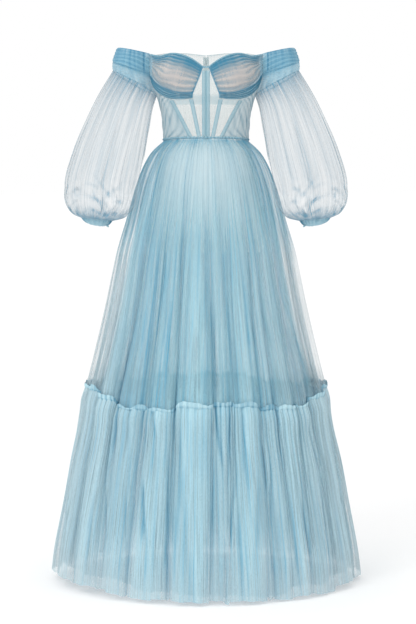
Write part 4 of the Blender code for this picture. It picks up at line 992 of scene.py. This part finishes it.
# Near the cuff the folds crumple: short creases lean across them in a fan.
crumpled = ease((down - 0.66) / 0.18) * ease((1.0 - down) / 0.05)
crumple = np.zeros(turn.shape)
for seed, slant, pitch in ((140, 0.34, 33.0), (150, -0.42, 27.0), (160, 0.12, 52.0)):
    patch = ease(0.2 + wander(seed, turn + 60.0 * down, (3, 7, 11)))
    line = 0.5 + 0.5 * np.sin(math.tau * (pitch * 0.26 * down + slant * turn / 10.0)
                              + 2.0 * wander(seed + 1, turn, (4, 9)))
    crumple += patch * (2.0 * line ** 4 - 0.55)
rise -= 0.0012 * crumpled * crumple
points += out * rise[..., None]
# Below the waist the sleeve is pushed clear of the skirt beside it.
beside_skirt = points[..., 2] < 0.01
bound_x, bound_y = (curve(SKIRT_FORM, "z", points[..., 2], side) + SKIRT_CLEAR
                    for side in ("half_width", "front"))
reach = np.hypot(points[..., 0] / bound_x, points[..., 1] / bound_y)
push = np.where(beside_skirt & (reach < 1.0), 1.0 / np.maximum(reach, 0.2), 1.0)
points[..., :2] *= push[..., None]
cover, slope = woven(points, plain, 0.235)
top_gather = np.exp(-down / 0.085)
low_gather = ease((down - 0.84) / 0.16) ** 1.4
zones = wander(170, turn + 12.0 * down, (2, 3, 5, 8))
cover = np.clip(cover * (1.0 + 0.22 * zones) + 0.34 * top_gather + 0.36 * low_gather
                + 0.1 * crumpled * crumple, 0.05, 0.9)
# The colour deepens in the valleys of the folds and in the crumpled creases, a painted shade, and
# where it is gathered.
fold = np.clip(0.18 - rise * 24.0 + 0.14 * (slope - 1.0) + 0.5 * top_gather + 0.72 * low_gather
               + 0.34 * crumpled * crumple + 0.1 * zones, 0, 1)
pair(("balloon_sleeve", "sleeve"), points, cover, fold,
     tulle("sheer sleeve tulle", "b4bfc4", "4b88a3", grain=0.2, fine=0.42, wide=0.42),
     True)

# CUFFS
# Narrow elastic casings: the sleeve's end folded over 8 mm elastic, puckered all round,
# with the ends bunched in a small knot at the inner side.

CUFF_FORM = {
    "up": (0.0, 1.0),
    "outer_x": (0.301, 0.3107), "outer_z": (-0.209, -0.1978),
    "inner_x": (0.245, 0.2355), "inner_z": (-0.2165, -0.2054),
    "mid_y": (-0.07, -0.07), "half_depth": (0.0325, 0.036)}
turn, up = ring_grid(360, np.linspace(0.0, 1.0, 12))
points, centre = arm_ring(CUFF_FORM, "up", up, turn)
pucker = gathers(turn, 30, 150)
swell = 0.0016 * np.sin(math.pi * up) + 0.0009 * pucker * (0.4 + 0.6 * np.abs(2 * up - 1))
points += away(points, centre) * swell[..., None]
points[..., 2] += 0.001 * pucker * (1 - up) * ease((0.3 - up) / 0.3)
corner = np.abs(np.cos(np.radians(turn)))
points[..., 2] -= 0.005 * (1 - up) * (1.0 - corner ** 2)
# The colour is paler on the puckers and darker between them, a painted shade.
fold = np.clip(0.34 - 0.22 * pucker * (0.4 + 0.6 * up) + 0.25 * up + 0.9 * corner ** 9, 0, 1)
cuff_tulle = tulle("puckered cuff tulle", "a9cbd6", "427f99", grain=0.15, fine=0.25, wide=0.15)
pair(("elastic_cuff", "cuff"), points, 0.55 + 0.35 * fold, fold, cuff_tulle,
     around=True)

KNOT = {"x": 0.2465, "y": -0.0755, "z": -0.2172, "long": 0.0105, "thick": 0.0036}
ring_turn, along = np.meshgrid(np.radians(np.linspace(0, 360, 25)[:-1]), np.linspace(0.0, 1.0, 18))
bulge = KNOT["thick"] * np.sqrt(np.clip(1.0 - (2.0 * along - 1.0) ** 2, 0.02, 1.0))
bulge *= 1.0 + 0.25 * np.sin(ring_turn * 5) * np.sin(9.0 * along)
from_middle = KNOT["long"] * (along - 0.5)
points = np.stack([KNOT["x"] - from_middle * 0.7 + 0.3 * bulge * np.cos(ring_turn),
                   KNOT["y"] + bulge * np.sin(ring_turn),
                   KNOT["z"] + bulge * np.cos(ring_turn) - from_middle * 0.15], axis=-1)
pair(("bunched_cuff_end", None), points, 0.75, 0.0, cuff_tulle,
     around=True)

# BACK ZIP
# A fine nylon coil zip on matching tape down the middle of the back, with a painted metal
# slider and a narrow pull tab; the pull tab is the one hard piece that moves.

TAPE_HALF = 0.0076
COIL_PITCH = 0.0018
COIL_HALF = 0.0016
TAPE_LOW = -0.11
TAPE_HIGH = 0.2265


def back_y(z):
    """The outside of bodice and skirt down the middle of the back."""
    low = section(SKIRT_FORM, 180.0 + 0.0 * z, z)[0][..., 1]
    high = torso(BACK_SEAM_TURN + 0.0 * z, z)[..., 1]
    return np.where(z < 0.0, low, high)


z = np.linspace(TAPE_LOW, TAPE_HIGH, 120)
y = back_y(z)
slope = np.gradient(y, z)
way = np.stack([0.0 * z, 1.0 / np.hypot(1, slope), -slope / np.hypot(1, slope)], axis=-1)
spine = np.stack([0.0 * z, y, z], axis=-1) + way * 0.0016
columns = np.linspace(TAPE_HALF, -TAPE_HALF, 9)
points = spine[:, None, :] + np.array([[c, 0.0, 0.0] for c in columns])[None]
edge = np.clip(1.5 * np.exp(-((np.abs(columns) / TAPE_HALF - 0.62) / 0.1) ** 2), 0, 1)[None, :]
dress_piece(shell("zip_tape_cloth", points, False, 1.0, edge),
            woven_tape("zip tape weave", "c2d2d6", "b4c8cd", "9fbac3"), ["zip_tape"])

# Each turn of the coil shows as a short six-sided bar across the tape.
angles = np.linspace(0.0, math.tau, 7)[:-1]
sides = len(angles)
coil_points = []
coil_faces = []
for i in range(int((z[-1] - z[0]) / COIL_PITCH)):
    height = z[0] + (i + 0.5) * COIL_PITCH
    centre = np.array([np.interp(height, z, spine[:, k]) for k in range(3)])
    lift = np.array([np.interp(height, z, way[:, k]) for k in range(3)])
    first = len(coil_points)
    for end in (-1.0, 1.0):
        for angle in angles:
            coil_points.append(centre + np.array([end * COIL_HALF, 0.0, 0.0])
                               + lift * (0.0007 + 0.0006 * math.cos(angle))
                               + np.array([0.0, 0.0, 0.00058 * math.sin(angle)]))
    for k in range(sides):
        n = (k + 1) % sides
        coil_faces.append((first + k, first + n, first + sides + n, first + sides + k))
    coil_faces.append(tuple(first + k for k in reversed(range(sides))))
    coil_faces.append(tuple(first + sides + k for k in range(sides)))
mesh = bpy.data.meshes.new("zip_coil")
mesh.from_pydata([list(p) for p in coil_points], [], coil_faces)
coil = add_object("zip_coil", mesh)


def painted_metal(name, paint, bare):
    """Sprayed zinc alloy: an even satin coat, worn a little brighter here and there."""
    material, shader = surface(name, {"Metallic": 0.35, "Roughness": 0.38})
    place = add(material, "TexCoord")
    wear = add(material, "TexNoise", {"Scale": 900.0, "Detail": 3.0},
               Vector=place.outputs["Object"])
    mask = add(material, "MapRange", {"1": 0.55, "2": 0.72}, i0=wear.outputs["Fac"])
    return coloured(material, shader, two_tone(material, paint, bare, mask.outputs[0]))


def drawn_nylon(name, face, shade):
    """Drawn nylon: dyed through, smooth and slightly glossy."""
    material, shader = surface(name, {"Roughness": 0.4})
    place = add(material, "TexCoord")
    mottle = add(material, "TexNoise", {"Scale": 300.0}, Vector=place.outputs["Object"])
    return coloured(material, shader, two_tone(material, face, shade, mottle.outputs["Fac"]))


dress_piece(coil, drawn_nylon("zip coil nylon", "c6d8dd", "b8cdd4"))
zip_paint = painted_metal("painted zip metal", "bcd0d7", "d6dfe2")
for node in ("zip_slider", "zip_tab"):
    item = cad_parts[node]
    item.data.materials.clear()
    item.data.materials.append(zip_paint)

# STUDIO
# A round floor of white paper that curls up at its rim, in front of an even white sky, with
# one large soft lamp at the upper left.  The paper glows a little, most under the dress: a
# painted light that lifts the shade there.  The camera is level, 4 m in front, framed as in
# the photo.

FLOOR_Z = -1.1105
SWEEP = {"flat": 8.0, "curl": 1.3, "sides": 96}
# The paper glows a little more up to the near distance, under the dress, than beyond the
# far one: painted light that lifts the shade under the dress.
FLOOR_GLOW = {"near": 0.28, "far": 0.46, "near_strength": 0.28, "far_strength": 0.19}
SKY_STRENGTH = 1.0
LAMP = {"wide": 2.2, "watts": 60.0, "place": (-2.2, -3.4, 2.2), "aim": (0.0, 0.0, -0.4)}
CAMERA_FAR = 4.0
CAMERA_Z = -0.278
PHOTO = {"width": 416, "height": 624, "focal": 1569.0, "horizon": 250.0, "middle": 206.0}
SENSOR_MM = 36.0

flat, curl, around = SWEEP["flat"], SWEEP["curl"], SWEEP["sides"]
profile = [(flat * step / 6, 0.0) for step in range(1, 7)]
for step in range(1, 13):
    angle = math.radians(90.0 * step / 12)
    profile.append((flat + curl * math.sin(angle), curl * (1.0 - math.cos(angle))))
corners = [(far * math.sin(math.tau * k / around), -far * math.cos(math.tau * k / around), height)
           for far, height in profile for k in range(around)]
faces = [tuple(range(around))]
for first in range(0, len(corners) - around, around):
    for k in range(around):
        n = (k + 1) % around
        faces.append((first + n, first + k, first + around + k, first + around + n))
mesh = bpy.data.meshes.new("studio_sweep")
mesh.from_pydata(corners, [], faces)
mesh.shade_smooth()
sweep = add_object("studio_sweep", mesh)
sweep.location.z = FLOOR_Z
# Matt white paper, without any shine.
paper, paper_shader = surface("white background paper", {
    "Base Color": linear("e8e8e8"), "Roughness": 1.0, "Specular IOR Level": 0.0,
    "Emission Color": linear("ffffff")})
place = add(paper, "TexCoord")
far = add(paper, "VectorMath", {"operation": "LENGTH"}, i0=place.outputs["Object"])
# Painted light: the paper's glow, strongest under the dress.
glow = add(paper, "MapRange", {"interpolation_type": "SMOOTHSTEP",
                              "1": FLOOR_GLOW["near"], "2": FLOOR_GLOW["far"],
                              "3": FLOOR_GLOW["near_strength"], "4": FLOOR_GLOW["far_strength"]},
          i0=far.outputs["Value"])
paper.node_tree.links.new(glow.outputs[0], paper_shader.inputs["Emission Strength"])
mesh.materials.append(paper)
sweep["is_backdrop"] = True

world = bpy.data.worlds.new("soft white studio")
world.use_nodes = True
sky = world.node_tree.nodes["Background"]
sky.inputs["Color"].default_value = linear("ffffff")
sky.inputs["Strength"].default_value = SKY_STRENGTH
bpy.context.scene.world = world
lamp_data = bpy.data.lights.new("soft key", "AREA")
lamp_data.shape = "DISK"
lamp_data.size = LAMP["wide"]
lamp_data.energy = LAMP["watts"]
lamp = add_object("soft key", lamp_data)
lamp.location = LAMP["place"]
lamp.rotation_euler = (Vector(LAMP["aim"]) - lamp.location).to_track_quat("-Z", "Y").to_euler()

camera_data = bpy.data.cameras.new("photo camera")
camera_data.sensor_width = SENSOR_MM
camera_data.lens = PHOTO["focal"] / PHOTO["height"] * SENSOR_MM
camera_data.shift_y = (PHOTO["horizon"] - PHOTO["height"] / 2.0) / PHOTO["height"]
camera = add_object("photo camera", camera_data)
pixel = CAMERA_FAR / PHOTO["focal"]
camera.location = ((PHOTO["width"] / 2.0 - PHOTO["middle"]) * pixel, -CAMERA_FAR, CAMERA_Z)
camera.rotation_euler = (math.radians(90.0), 0.0, 0.0)
bpy.context.scene.camera = camera
bpy.context.scene.view_settings.view_transform = "Standard"
bpy.context.scene.cycles.transparent_max_bounces = 40

low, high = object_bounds()
